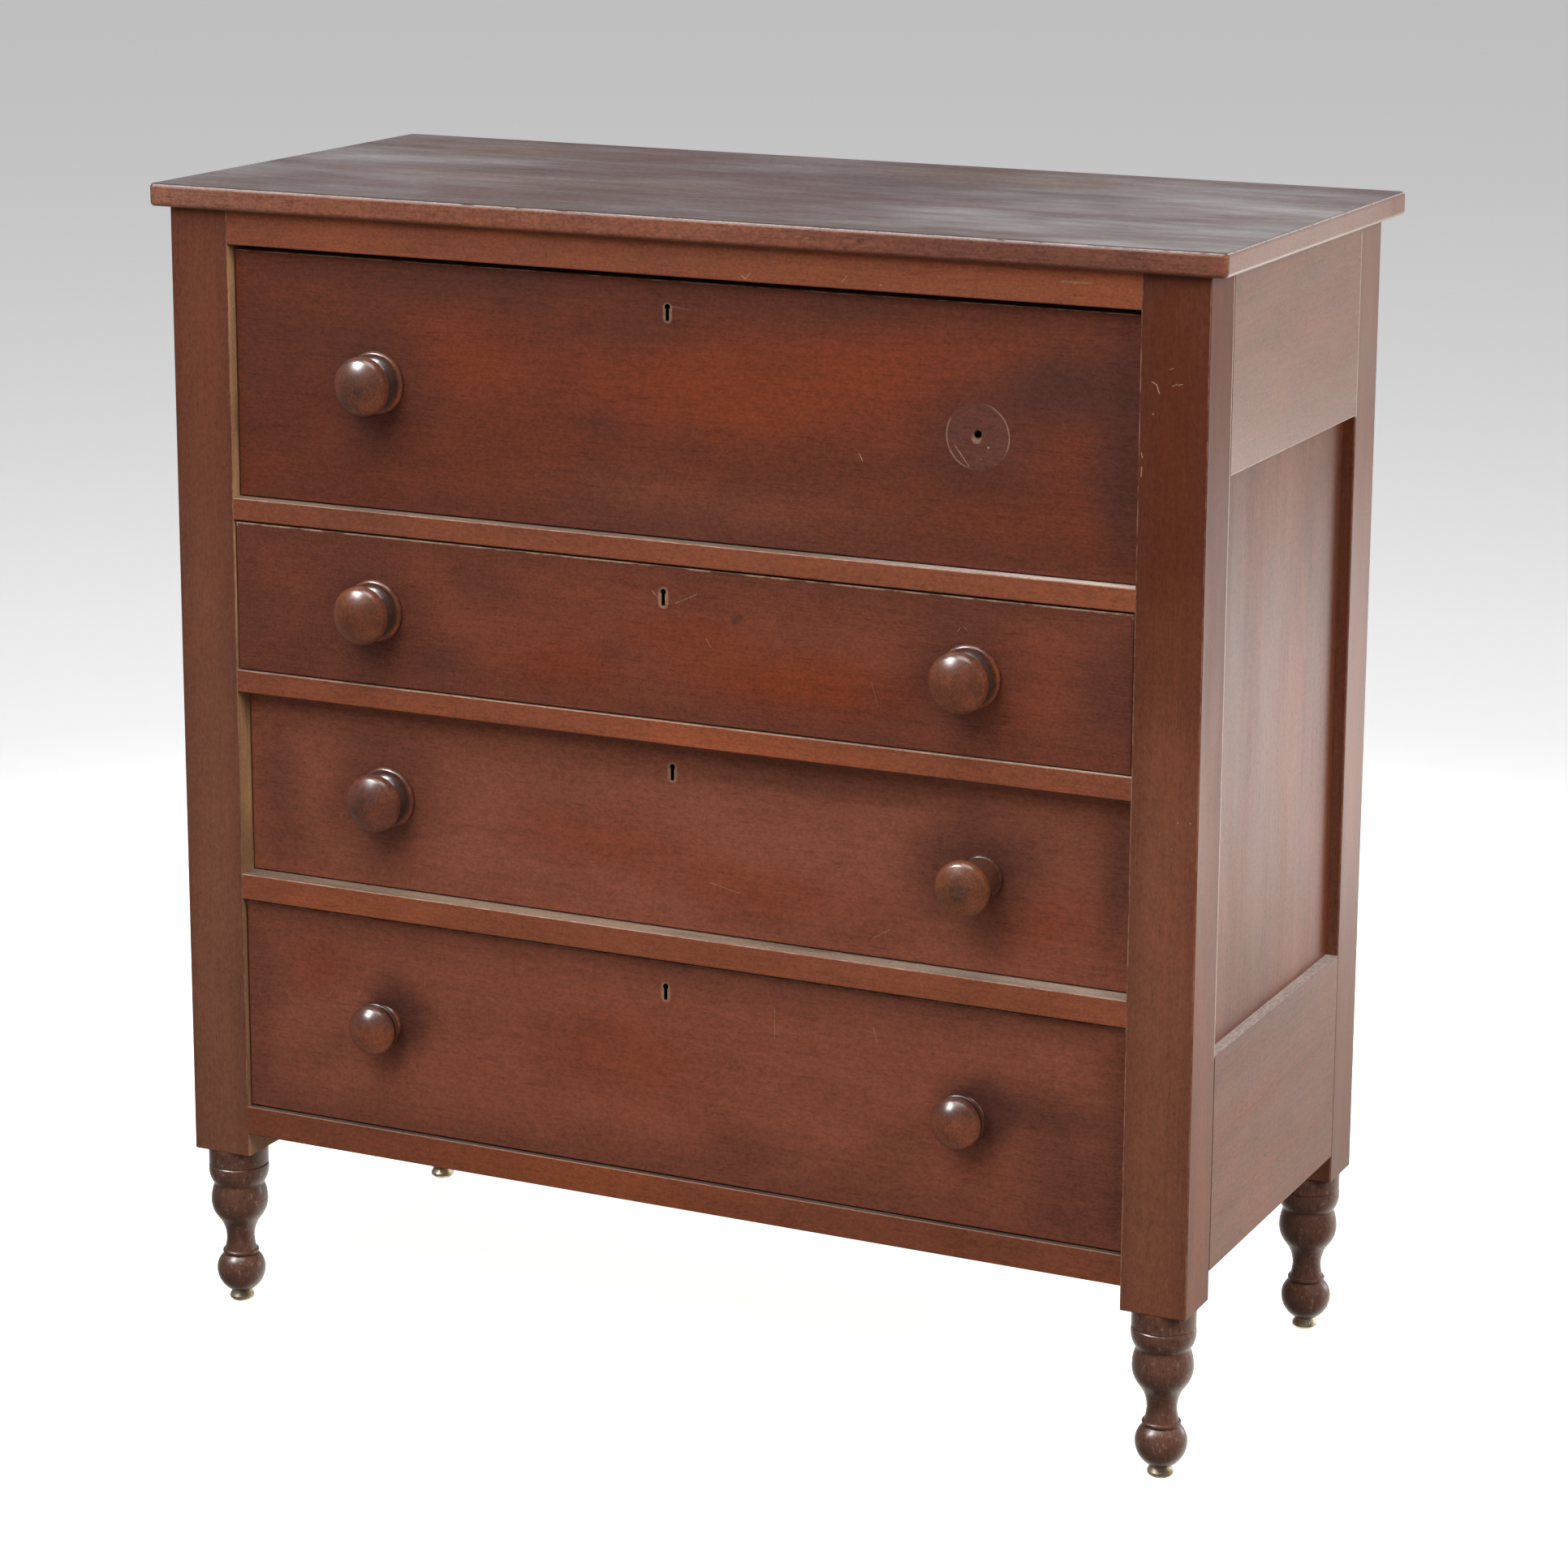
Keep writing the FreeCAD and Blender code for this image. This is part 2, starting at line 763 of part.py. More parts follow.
class Drawer:
    """One dovetailed drawer, its lock and its knobs, in the closed place."""

    def __init__(self, index):
        opening_low = rails[index + 1][1]
        opening_high = rails[index][0]
        self.index = index
        self.face_y = front_y + recesses[index]
        self.inner_y = self.face_y + front_thickness
        self.end_y = self.face_y + drawer_length
        self.low = opening_low + running_clearance
        self.high = opening_high - top_gaps[index]
        self.side_high = self.high - drawer_side_drop
        self.groove_low = self.low + bottom_groove_rise
        self.groove_high = self.groove_low + bottom_groove_height
        self.back_high = self.side_high - drawer_back_drop
        self.knob_z = (opening_low + opening_high) / 2
        self.key_z = self.high - key_drop
        self.patterns = knob_patterns[index]

    def knob_places(self):
        """Where the knob holes sit along X. A stemmed knob stands a little further out."""
        shift = stemmed_knob_shift if stemmed_knob in self.patterns else 0
        return (-knob_spread, knob_spread + shift)

    def tails(self, y_base, y_tip, low, high, allowance):
        """Row of dovetails of the right-hand side, from the shoulder line out to the tips."""
        count = max(2, round((high - low) / tail_pitch))
        pitch = (high - low) / count
        base = tail_base_share * pitch / 2 + allowance
        tip = base + tail_slope_share * abs(y_tip - y_base)
        inside = drawer_inner_half - allowance
        depth = drawer_side_thickness + 2 * allowance
        solids = []
        for number in range(count):
            z = low + (number + 0.5) * pitch
            outline = [
                Vector(inside, y_base, z - base),
                Vector(inside, y_tip, z - tip),
                Vector(inside, y_tip, z + tip),
                Vector(inside, y_base, z + base),
            ]
            solids.append(prism(outline, Vector(depth, 0, 0)))
        return solids

    def front_tails(self, allowance=0):
        """Tails that go into the ends of the front."""
        tip = self.inner_y - tail_length - allowance
        return self.tails(self.inner_y, tip, self.low, self.side_high, allowance)

    def back_tails(self, allowance=0):
        """Tails that go through the ends of the back."""
        base = self.end_y - drawer_back_thickness
        return self.tails(base, self.end_y, self.groove_high, self.back_high, allowance)

    def lock_shell(self, allowance=0):
        """Outside of the lock: plate on the inside face, case, and lip along the top edge."""
        half_plate = lock_plate_width / 2
        half_case = lock_case_width / 2
        case_front = self.inner_y - lock_plate - lock_case_depth
        plate = Block(
            (-half_plate, half_plate),
            (self.inner_y - lock_plate, self.inner_y),
            (self.high - lock_plate_height, self.high),
        )
        case = Block(
            (-half_case, half_case),
            (case_front, self.inner_y),
            (self.high - lock_case_height, self.high),
        )
        lip = Block(
            (-half_plate, half_plate),
            (case_front - lock_lip, self.inner_y),
            (self.high - lock_plate, self.high),
        )
        return fused([b.solid(allowance) for b in (plate, case, lip)])

    def front(self):
        """Drawer front with half-blind sockets, groove, keyhole, lock recess and screw holes."""
        low = self.low + front_lift
        x = (-drawer_half, drawer_half)
        board = Block(x, (self.face_y, self.inner_y), (low, self.high)).solid()
        board = eased(board, front_arris, lambda bound: lies_at(bound.YMin, bound.YMax, self.face_y))
        groove = Block(
            (-drawer_inner_half, drawer_inner_half),
            (self.inner_y - bottom_groove_depth, self.inner_y + overrun),
            (self.groove_low, self.groove_high),
        )
        tools = [groove.solid(), self.lock_shell(glue_line)]
        tools.append(keyhole(self.key_z, self.face_y - overrun, front_thickness))
        for tail in self.front_tails(glue_line):
            tools += both_sides(tail)
        hole_start = self.face_y - overrun
        for x in self.knob_places():
            start = Vector(x, hole_start, self.knob_z)
            length = front_thickness + 2 * overrun
            tools.append(Part.makeCylinder(knob_hole_diameter / 2, length, start, Vector(0, 1, 0)))
        return cut(board, tools)

    def side(self):
        """Right-hand side with tails at both ends and a groove for the bottom."""
        x = (drawer_inner_half, drawer_half)
        body = Block(x, (self.inner_y, self.end_y), (self.low, self.side_high)).solid()
        waste = Block(
            (drawer_inner_half - overrun, drawer_half + overrun),
            (self.end_y - drawer_back_thickness, self.end_y + overrun),
            (self.groove_high, self.back_high),
        )
        body = body.cut(waste.solid())
        groove = Block(
            (drawer_inner_half - overrun, drawer_inner_half + bottom_groove_depth),
            (self.inner_y - tail_length - overrun, self.end_y + overrun),
            (self.groove_low, self.groove_high),
        )
        return fused([body] + self.front_tails() + self.back_tails()).cut(groove.solid())

    def back(self):
        """Back with through sockets, standing on the bottom."""
        board = Block(
            (-drawer_half, drawer_half),
            (self.end_y - drawer_back_thickness, self.end_y),
            (self.groove_high, self.back_high),
        )
        sockets = [s for tail in self.back_tails(glue_line) for s in both_sides(tail)]
        return cut(board.solid(), sockets)

    def bottom(self):
        """Bottom board, feathered underneath to slide in the grooves, open at the back."""
        tongue = bottom_groove_depth - running_clearance
        edge = drawer_inner_half + tongue
        top = self.groove_high - glue_line
        under = top - bottom_thickness
        start = self.inner_y - tongue
        board = Block((-edge, edge), (self.inner_y + glue_line, self.end_y), (under, top)).solid()
        lip_half = drawer_inner_half - glue_line
        lip = Block((-lip_half, lip_half), (start, self.inner_y + feather_width), (under, top)).solid()
        side_bevel = prism(
            [
                Vector(edge, start - overrun, under),
                Vector(edge, start - overrun, top - feather_edge),
                Vector(edge - feather_width, start - overrun, under),
            ],
            Vector(0, drawer_length + overrun, 0),
        )
        front_bevel = prism(
            [
                Vector(-edge - overrun, start, under),
                Vector(-edge - overrun, start, top - feather_edge),
                Vector(-edge - overrun, start + feather_width, under),
            ],
            Vector(2 * (edge + overrun), 0, 0),
        )
        return cut(fused([board, lip]), both_sides(side_bevel) + [front_bevel])

    def on_front(self, shapes):
        """Knobs or screws set from the left at the drawer's knob places."""
        places = [Vector(x, self.face_y, self.knob_z) for x in self.knob_places()]
        return Part.makeCompound([moved(shape, place) for shape, place in zip(shapes, places)])

    def knobs(self):
        """The drawer's turned knobs, each bored for its screw."""
        bore = screw_length - front_thickness
        start = Vector(0, -bore - glue_line, 0)
        hole = screw_diameter + 2 * glue_line
        along = Vector(0, 1, 0)
        knobs = [drilled_on(make(), hole, start, along, bore + overrun) for make in self.patterns]
        return self.on_front(knobs)

    def knob_screws(self):
        """The screws that hold the knobs."""
        return self.on_front([knob_screw() for _ in self.patterns])

    def bolt(self):
        """Sliding bolt, just below the top edge of the lock when it is drawn."""
        high = self.high - bolt_sink
        half = bolt_width / 2
        middle = bolt_y(self.index)
        y = (middle - bolt_thickness / 2, middle + bolt_thickness / 2)
        return Block((-half, half), y, (high - bolt_height, high))

    def lock(self):
        """Half-mortise lock with a channel for its bolt, a key cavity and the key's pin."""
        case_front = self.inner_y - lock_plate - lock_case_depth
        channel = self.bolt().solid(running_clearance)
        mouth = self.bolt().solid(running_clearance)
        mouth.translate(Vector(0, 0, bolt_sink))
        cavity = keyhole(self.key_z, case_front - overrun, key_cavity_depth + overrun)
        pin_z = self.key_z + keyhole_height / 2 - keyhole_round / 2
        pin_start = case_front + key_cavity_depth - key_pin_length
        pin = Part.makeCylinder(
            key_pin_diameter / 2, key_pin_length + overrun, Vector(0, pin_start, pin_z), Vector(0, 1, 0)
        )
        return fused([cut(self.lock_shell(), [channel, mouth, cavity]), pin])


def chest():
    """Every piece of the chest by name."""
    nodes = {"top_board": top_board(), "foot_glides": foot_glides()}
    for place, is_front in (("front", True), ("back", False)):
        right = post(is_front)
        nodes[f"post_{place}_right"] = right
        nodes[f"post_{place}_left"] = mirrored(right)
    for place, level in zip(("top", "bottom"), side_rail_levels()):
        right = side_rail(level)
        nodes[f"side_{place}_rail_right"] = right
        nodes[f"side_{place}_rail_left"] = mirrored(right)
    nodes["side_panel_right"] = side_panel()
    nodes["side_panel_left"] = mirrored(side_panel())
    rail_names = ("front_top_rail", "drawer_divider_1", "drawer_divider_2", "drawer_divider_3",
                  "front_bottom_rail")
    for index, name in enumerate(rail_names):
        nodes[name] = front_rail(index)
    nodes["back_rails"] = back_rails()
    nodes["back_boards"] = back_boards()
    levels = runner_levels()
    nodes["drawer_kickers"] = Part.makeCompound(both_sides(runner(levels[0])))
    nodes["drawer_runners"] = Part.makeCompound([r for lv in levels[1:] for r in both_sides(runner(lv))])
    nodes["drawer_guides"] = Part.makeCompound([g for lv in levels[1:] for g in both_sides(guide(lv))])
    nodes["drawer_stops"] = drawer_stops()
    for index in range(len(recesses)):
        drawer = Drawer(index)
        name = f"drawer_{index + 1}"
        side = drawer.side()
        nodes[f"{name}_front"] = drawer.front()
        nodes[f"{name}_side_right"] = side
        nodes[f"{name}_side_left"] = mirrored(side)
        nodes[f"{name}_back"] = drawer.back()
        nodes[f"{name}_bottom"] = drawer.bottom()
        nodes[f"{name}_knobs"] = drawer.knobs()
        nodes[f"{name}_knob_screws"] = drawer.knob_screws()
        nodes[f"{name}_lock"] = drawer.lock()
        nodes[f"{name}_lock_bolt"] = drawer.bolt().solid()
    return nodes


os.makedirs("parts", exist_ok=True)
for node_name, node_shape in chest().items():
    node_shape.exportStep(f"parts/{node_name}.step")
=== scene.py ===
"""Looks of the bachelor's chest: old red-brown wood, bare inner boards, iron and brass, in a pale studio.

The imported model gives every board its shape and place. This script gives the boards their finishes, adds the
nails and lock screws, and sets the floor, the lights and the camera. Lengths are in metres.
"""

import logging
import math
from dataclasses import dataclass, replace
from enum import Enum
from functools import reduce
from operator import add
from typing import Any, Mapping, Optional, Sequence, Union

import bpy
import numpy as np
from mathutils import Matrix, Vector


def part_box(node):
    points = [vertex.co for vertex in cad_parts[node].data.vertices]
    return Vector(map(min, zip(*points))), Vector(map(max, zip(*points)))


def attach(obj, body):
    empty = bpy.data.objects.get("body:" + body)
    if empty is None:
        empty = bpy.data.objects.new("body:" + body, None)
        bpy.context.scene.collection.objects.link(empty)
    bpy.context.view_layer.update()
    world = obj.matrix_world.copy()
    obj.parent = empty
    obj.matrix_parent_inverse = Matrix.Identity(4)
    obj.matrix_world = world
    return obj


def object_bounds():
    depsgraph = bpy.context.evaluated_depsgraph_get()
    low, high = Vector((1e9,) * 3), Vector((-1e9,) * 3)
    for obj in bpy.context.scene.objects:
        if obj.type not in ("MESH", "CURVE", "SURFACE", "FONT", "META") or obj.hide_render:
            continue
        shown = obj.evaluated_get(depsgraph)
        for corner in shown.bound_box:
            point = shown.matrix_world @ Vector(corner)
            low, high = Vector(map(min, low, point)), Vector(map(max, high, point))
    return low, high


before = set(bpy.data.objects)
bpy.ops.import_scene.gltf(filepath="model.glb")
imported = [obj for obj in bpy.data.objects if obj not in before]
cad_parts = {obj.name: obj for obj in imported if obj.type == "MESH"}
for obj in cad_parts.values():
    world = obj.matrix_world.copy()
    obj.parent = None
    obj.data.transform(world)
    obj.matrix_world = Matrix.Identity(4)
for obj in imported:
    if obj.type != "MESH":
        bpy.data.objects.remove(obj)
cad_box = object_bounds()
log = logging.getLogger("chest")

Colour = tuple[float, float, float]
Point = tuple[float, float]
Box = tuple[Vector, Vector]
Term = Union[float, "Value"]
Faces = list[list[int]]
Shell = tuple[np.ndarray, Faces]


class Axis(Enum):
    """A direction, of a board's grain or along one of its faces."""

    X = 0
    Y = 1
    Z = 2


class Face(Enum):
    """A side of a piece, as the axis and sign of its outward direction."""

    LEFT = (0, -1.0)
    RIGHT = (0, 1.0)
    FRONT = (1, -1.0)
    BACK = (1, 1.0)
    UNDER = (2, -1.0)
    TOP = (2, 1.0)


class Side(Enum):
    """An end of the chest: the face that shows outside, and the face towards the drawers."""

    LEFT = (Face.LEFT, Face.RIGHT)
    RIGHT = (Face.RIGHT, Face.LEFT)

    @property
    def outer(self) -> Face:
        """The face that shows outside."""
        return self.value[0]

    @property
    def inner(self) -> Face:
        """The face towards the drawers."""
        return self.value[1]


# Shader expressions
class Value:
    """A socket that varies over a surface. Operators on it add Math nodes."""

    def __init__(self, nodes: "Nodes", socket: bpy.types.NodeSocket) -> None:
        """Wraps one output socket of a tree."""
        self.nodes = nodes
        self.socket = socket

    def __add__(self, other: Term) -> "Value":
        """Sum."""
        return self.nodes.math("ADD", self, other)

    def __radd__(self, other: Term) -> "Value":
        """Sum with a number on the left."""
        return self.nodes.math("ADD", other, self)

    def __sub__(self, other: Term) -> "Value":
        """Difference."""
        return self.nodes.math("SUBTRACT", self, other)

    def __rsub__(self, other: Term) -> "Value":
        """Difference from a number."""
        return self.nodes.math("SUBTRACT", other, self)

    def __mul__(self, other: Term) -> "Value":
        """Product."""
        return self.nodes.math("MULTIPLY", self, other)

    def __rmul__(self, other: Term) -> "Value":
        """Product with a number on the left."""
        return self.nodes.math("MULTIPLY", other, self)

    def __truediv__(self, other: Term) -> "Value":
        """Quotient."""
        return self.nodes.math("DIVIDE", self, other)

    def __rtruediv__(self, other: Term) -> "Value":
        """Quotient of a number by the value."""
        return self.nodes.math("DIVIDE", other, self)

    def __abs__(self) -> "Value":
        """The value without its sign."""
        return self.nodes.math("ABSOLUTE", self)


Given = Union[float, Sequence[float], Value]
Settings = Optional[Mapping[str, Any]]
Sockets = Optional[Mapping[Union[str, int], Given]]


class Nodes:
    """A node tree, written as expressions."""

    def __init__(self, tree: bpy.types.NodeTree) -> None:
        """Empties the tree."""
        self.tree = tree
        self.tree.nodes.clear()

    def node(self, kind: str, settings: Settings = None, sockets: Sockets = None) -> bpy.types.Node:
        """Adds any node.

        Args:
            kind: Blender's name of the node type.
            settings: The node's own options, set first.
            sockets: Values or links of its input sockets, by name or number.

        Returns:
            The new node.
        """
        made = self.tree.nodes.new(kind)
        for name, setting in (settings or {}).items():
            setattr(made, name, setting)
        for key, given in (sockets or {}).items():
            if isinstance(given, Value):
                self.tree.links.new(given.socket, made.inputs[key])
            else:
                made.inputs[key].default_value = given
        return made

    def out(
        self, kind: str, output: Union[str, int] = 0, settings: Settings = None, sockets: Sockets = None
    ) -> Value:
        """Adds a node in the same way and gives one of its outputs as a value."""
        return Value(self, self.node(kind, settings, sockets).outputs[output])

    def parts(self, vector: Value) -> list[Value]:
        """The three parts of a vector."""
        split = self.node("ShaderNodeSeparateXYZ", None, {0: vector})
        return [Value(self, socket) for socket in split.outputs]

    def math(self, operation: str, *terms: Term) -> Value:
        """A Math node on one to three numbers or values, by Blender's name of the operation."""
        return self.out("ShaderNodeMath", 0, {"operation": operation}, dict(enumerate(terms)))

    def least(self, *terms: Term) -> Term:
        """The smallest of several terms."""
        return reduce(lambda found, term: self.math("MINIMUM", found, term), terms)

    def most(self, *terms: Term) -> Term:
        """The largest of several terms."""
        return reduce(lambda found, term: self.math("MAXIMUM", found, term), terms)

    def step(self, start: float, end: float, term: Value, height: float = 1.0) -> Value:
        """A smooth step from 0 at start to its height at end; start may be the larger of the two."""
        sockets = {"Value": term, "From Min": start, "From Max": end, "To Max": height}
        return self.out("ShaderNodeMapRange", 0, {"interpolation_type": "SMOOTHSTEP"}, sockets)

    def vector(self, x: Term, y: Term, z: Term) -> Value:
        """Three terms as one vector."""
        return self.out("ShaderNodeCombineXYZ", 0, None, {0: x, 1: y, 2: z})

    def noise(self, place: Value, detail: float = 2.0, roughness: float = 0.5) -> Value:
        """Smooth noise from 0 to 1 at a point already scaled, with finer layers of that strength."""
        sockets = {"Vector": place, "Scale": 1.0, "Detail": detail, "Roughness": roughness}
        return self.out("ShaderNodeTexNoise", 0, None, sockets)

    def mix(self, share: Term, under: Union[Value, Colour], over: Union[Value, Colour]) -> Value:
        """A colour laid over another, with a share of the upper one from 0 to 1."""
        colours = [c if isinstance(c, Value) else (*c, 1.0) for c in (under, over)]
        return self.out("ShaderNodeMix", 2, {"data_type": "RGBA"}, {0: share, 6: colours[0], 7: colours[1]})

    def scaled(self, colour: Value, factor: Value) -> Value:
        """A colour made darker or lighter by a number."""
        return self.out("ShaderNodeVectorMath", 0, {"operation": "SCALE"}, {0: colour, "Scale": factor})

    def radius(self, u: Value, v: Value) -> Value:
        """Length of a vector of two parts."""
        return self.math("SQRT", u * u + v * v)

    def segment(self, place: Value, start: Point, end: Point) -> Value:
        """Distance of a point on a face from a straight line.

        The line's nearest point is its start and a share of its run. The share is the dot product of the
        point's offset with the run, over the run's square, kept between 0 and 1.

        Args:
            place: The point as a flat vector.
            start: One end of the line.
            end: The other end.

        Returns:
            The distance in metres.
        """
        run = Vector((end[0] - start[0], end[1] - start[1], 0.0))
        kind = "ShaderNodeVectorMath"
        offset = self.out(kind, 0, {"operation": "SUBTRACT"}, {0: place, 1: (*start, 0.0)})
        share = self.out(kind, 1, {"operation": "DOT_PRODUCT"}, {0: offset, 1: run / run.length_squared})
        share = self.least(self.most(share, 0.0), 1.0)
        foot = self.out(kind, 0, {"operation": "SCALE"}, {0: run, "Scale": share})
        return self.out(kind, 1, {"operation": "DISTANCE"}, {0: offset, 1: foot})


class Surface(Nodes):
    """The node tree of one material, with the point and the direction of the surface at hand."""

    def __init__(self, name: str) -> None:
        """Makes an empty material.

        Args:
            name: Name of the material.
        """
        self.material = bpy.data.materials.new(name)
        self.material.use_nodes = True
        super().__init__(self.material.node_tree)
        self.place = self.parts(self.out("ShaderNodeTexCoord", "Object"))
        self.x, self.y, self.z = self.place
        self.normal = self.parts(self.out("ShaderNodeNewGeometry", "Normal"))

    def bump(self, height: Value, strength: float, direction: Optional[Value] = None) -> Value:
        """Surface direction tilted by a height.

        Args:
            height: The height in metres.
            strength: How far it tilts the surface.
            direction: The direction before tilting, if it isn't the mesh's own.

        Returns:
            The tilted direction.
        """
        sockets: dict[Union[str, int], Given] = {"Strength": strength, "Distance": 1.0, "Height": height}
        if direction is not None:
            sockets["Normal"] = direction
        return self.out("ShaderNodeBump", 0, None, sockets)

    def close(self, constants: Mapping[str, Given], linked: Mapping[str, Value]) -> bpy.types.Material:
        """Closes the tree with one shader.

        Args:
            constants: Socket values that are the same all over the surface.
            linked: Sockets that vary over it.

        Returns:
            The finished material.
        """
        shader = self.node("ShaderNodeBsdfPrincipled", None, {**constants, **linked})
        output = self.node("ShaderNodeOutputMaterial")
        self.tree.links.new(shader.outputs[0], output.inputs[0])
        return self.material


# Finishes
@dataclass(frozen=True)
class WoodTone:
    """Colours and gloss of one kind of wood surface, with colours as linear red, green and blue.

    Attributes:
        body: The main colour.
        warm: The redder colour of the blotches.
        deep: The darker colour of the blotches.
        border: The dark colour along borders and round knobs: dark polish, and painted shade in recesses,
            grooves and round the knobs.
        worn: The colour of worn arrises and nicks.
        bare: The colour where there is no finish.
        roughness: Gloss, as the shader takes it.
        streak: How far the gloss changes along the grain.
        ior: Refraction of the wood's own surface.
        coat: Least and most strength of the varnish over the wood.
        coat_roughness: Gloss of the varnish.
    """

    body: Colour
    warm: Colour
    deep: Colour
    border: Colour
    worn: Colour
    bare: Colour
    roughness: float
    streak: float
    ior: float
    coat: tuple[float, float]
    coat_roughness: float


@dataclass(frozen=True)
class MetalTone:
    """Colours and gloss of a metal surface.

    Attributes:
        name: The metal's name.
        bright: The rubbed metal's colour.
        dull: The tarnished colour.
        roughness: Gloss of the rubbed metal.
    """

    name: str
    bright: Colour
    dull: Colour
    roughness: float


@dataclass(frozen=True)
class Patch:
    """A soft stain on a front: its middle along X and Z, its reach each way, and its strength."""

    x: float
    z: float
    wide: float
    high: float
    strength: float


@dataclass(frozen=True)
class Scratch:
    """A straight scratch on a face: its two ends, its width and its strength."""

    start: Point
    end: Point
    width: float = 0.0006
    strength: float = 0.7


@dataclass(frozen=True)
class Pattern:
    """Noise drawn out along the grain.

    Attributes:
        along: Waves in a metre along the grain.
        across: Waves in a metre across it.
        detail: How many finer layers it has.
        roughness: How strong the finer layers are.
    """

    along: float
    across: float
    detail: float = 3.0
    roughness: float = 0.6


@dataclass(frozen=True)
class Ramp:
    """A smooth step: where it starts, where it is full, and how high it is then."""

    start: float
    end: float
    height: float = 1.0


def patch_rows(*rows: Sequence[float]) -> tuple[Patch, ...]:
    """Patches from rows of numbers, in the order of their fields."""
    return tuple(Patch(*row) for row in rows)


def scratch_rows(*rows: Sequence[float]) -> tuple[Scratch, ...]:
    """Scratches from rows of numbers: both ends, then width and strength where they aren't the usual ones."""
    return tuple(Scratch((x, z), (end_x, end_z), *more) for x, z, end_x, end_z, *more in rows)


# Patterns
RAGGED = Pattern(7.0, 12.0)
BLOTCHES = Pattern(2.4, 7.0, 4.0, 0.55)
FIGURE = Pattern(1.4, 34.0)
GRAIN_LINES = Pattern(5.0, 210.0, 2.0)
FIBRE = Pattern(32.0, 720.0, 2.0)
FLECKS = Pattern(130.0, 230.0, 2.0, 0.65)
SPECKS = Pattern(330.0, 480.0, 1.0, 0.5)
MOTTLING = Pattern(13.0, 24.0)
PORES = Pattern(60.0, 640.0, 1.0, 0.5)
GLOSS = Pattern(3.0, 30.0)
WAVES = Pattern(1.6, 7.0, 1.0, 0.4)
RIPPLE = Pattern(140.0, 170.0, 2.0)
BROKEN_WEAR = Pattern(45.0, 160.0, 4.0, 0.7)
AGED_PATCHES = Pattern(4.0, 40.0)
TOP_HAZE = Pattern(7.0, 48.0, 4.0, 0.72)
TOP_CLOUDS = Pattern(5.0, 11.0)
CRAZING = Pattern(170.0, 260.0, 3.0, 0.7)

# How far each pattern changes the colour, and how high it stands in metres
TEXTURE = {GRAIN_LINES: 0.40, FIBRE: 0.55, FLECKS: 0.60, SPECKS: 1.0, FIGURE: 0.16, MOTTLING: 0.50}
TEXTURE_MEAN = 1.58
PORE_DARKNESS = 0.22
RELIEF = {WAVES: 0.00016, RIPPLE: 0.00003, GRAIN_LINES: 0.00005, FIBRE: 0.00002}
RELIEF_STRENGTH = 0.6
PORE_DEPTH = 0.00003

# Waves in a metre of a metal's tarnish and pits, and the pits' depth
TARNISH_WAVES = 90.0
PIT_WAVES = 900.0
PIT_DEPTH = 0.00008

# Smooth steps on the patterns, and on the part of a surface's direction that faces one way
WARM_BLOTCH = Ramp(0.50, 0.70)
DEEP_BLOTCH = Ramp(0.50, 0.30)
PORE_CUT = Ramp(0.58, 0.72)
GLOSS_CUT = Ramp(0.30, 0.70)
FLAT_FACE = Ramp(0.86, 0.97)
WHOLE_FACE = Ramp(0.25, 0.65)
NOT_UNDER = Ramp(-0.1, 0.3)

# Colours and finishes
BARE_WOOD: Colour = (0.46, 0.29, 0.15)
WORN_WOOD: Colour = (0.42, 0.27, 0.18)
# Paler, greyer colours for a painted veil of reflection and light low on the fronts, posts and panel; the red
# one also serves the paler patches, the brown one also darkens the posts' inner faces beside the lowest drawer
FADE_AND_VEIL_RED: Colour = (0.265, 0.084, 0.048)
FADE_AND_VEIL_BROWN: Colour = (0.205, 0.080, 0.046)
POST_BARE: Colour = (0.50, 0.27, 0.135)
KEYHOLE_SHADE: Colour = (0.018, 0.011, 0.009)
EDGE_RED: Colour = (0.262, 0.090, 0.050)
EDGE_PALE: Colour = (0.33, 0.15, 0.10)
EDGE_BROWN: Colour = (0.125, 0.042, 0.027)
POST_SHADE_BROWN: Colour = (0.095, 0.016, 0.003)
FOOT_BROWN: Colour = (0.105, 0.045, 0.030)
GHOST_MAUVE: Colour = (0.122, 0.043, 0.032)
CASE_TONE = WoodTone(
    body=(0.165, 0.047, 0.022), warm=(0.210, 0.055, 0.022), deep=(0.125, 0.038, 0.019),
    border=(0.080, 0.027, 0.017), worn=WORN_WOOD, bare=BARE_WOOD,
    roughness=0.46, streak=0.10, ior=1.30, coat=(0.06, 0.14), coat_roughness=0.36,
)
FRONT_TONE = WoodTone(
    body=(0.158, 0.0352, 0.0150), warm=(0.205, 0.0395, 0.0135), deep=(0.120, 0.031, 0.016),
    border=(0.080, 0.027, 0.0195), worn=WORN_WOOD, bare=BARE_WOOD,
    roughness=0.46, streak=0.12, ior=1.30, coat=(0.0, 0.12), coat_roughness=0.34,
)
# The top's worn colour is nearly white: on its upper arrises it is wear with a painted highlight
TOP_TONE = WoodTone(
    body=(0.070, 0.028, 0.024), warm=(0.095, 0.033, 0.025), deep=(0.050, 0.023, 0.021),
    border=(0.055, 0.022, 0.017), worn=(0.62, 0.54, 0.48), bare=BARE_WOOD,
    roughness=0.44, streak=0.06, ior=1.26, coat=(0.20, 0.32), coat_roughness=0.38,
)
TURNED_TONE = WoodTone(
    body=(0.118, 0.037, 0.022), warm=(0.155, 0.042, 0.019), deep=(0.070, 0.028, 0.020),
    border=(0.030, 0.014, 0.010), worn=(0.26, 0.15, 0.10), bare=BARE_WOOD,
    roughness=0.36, streak=0.08, ior=1.34, coat=(0.70, 0.90), coat_roughness=0.23,
)
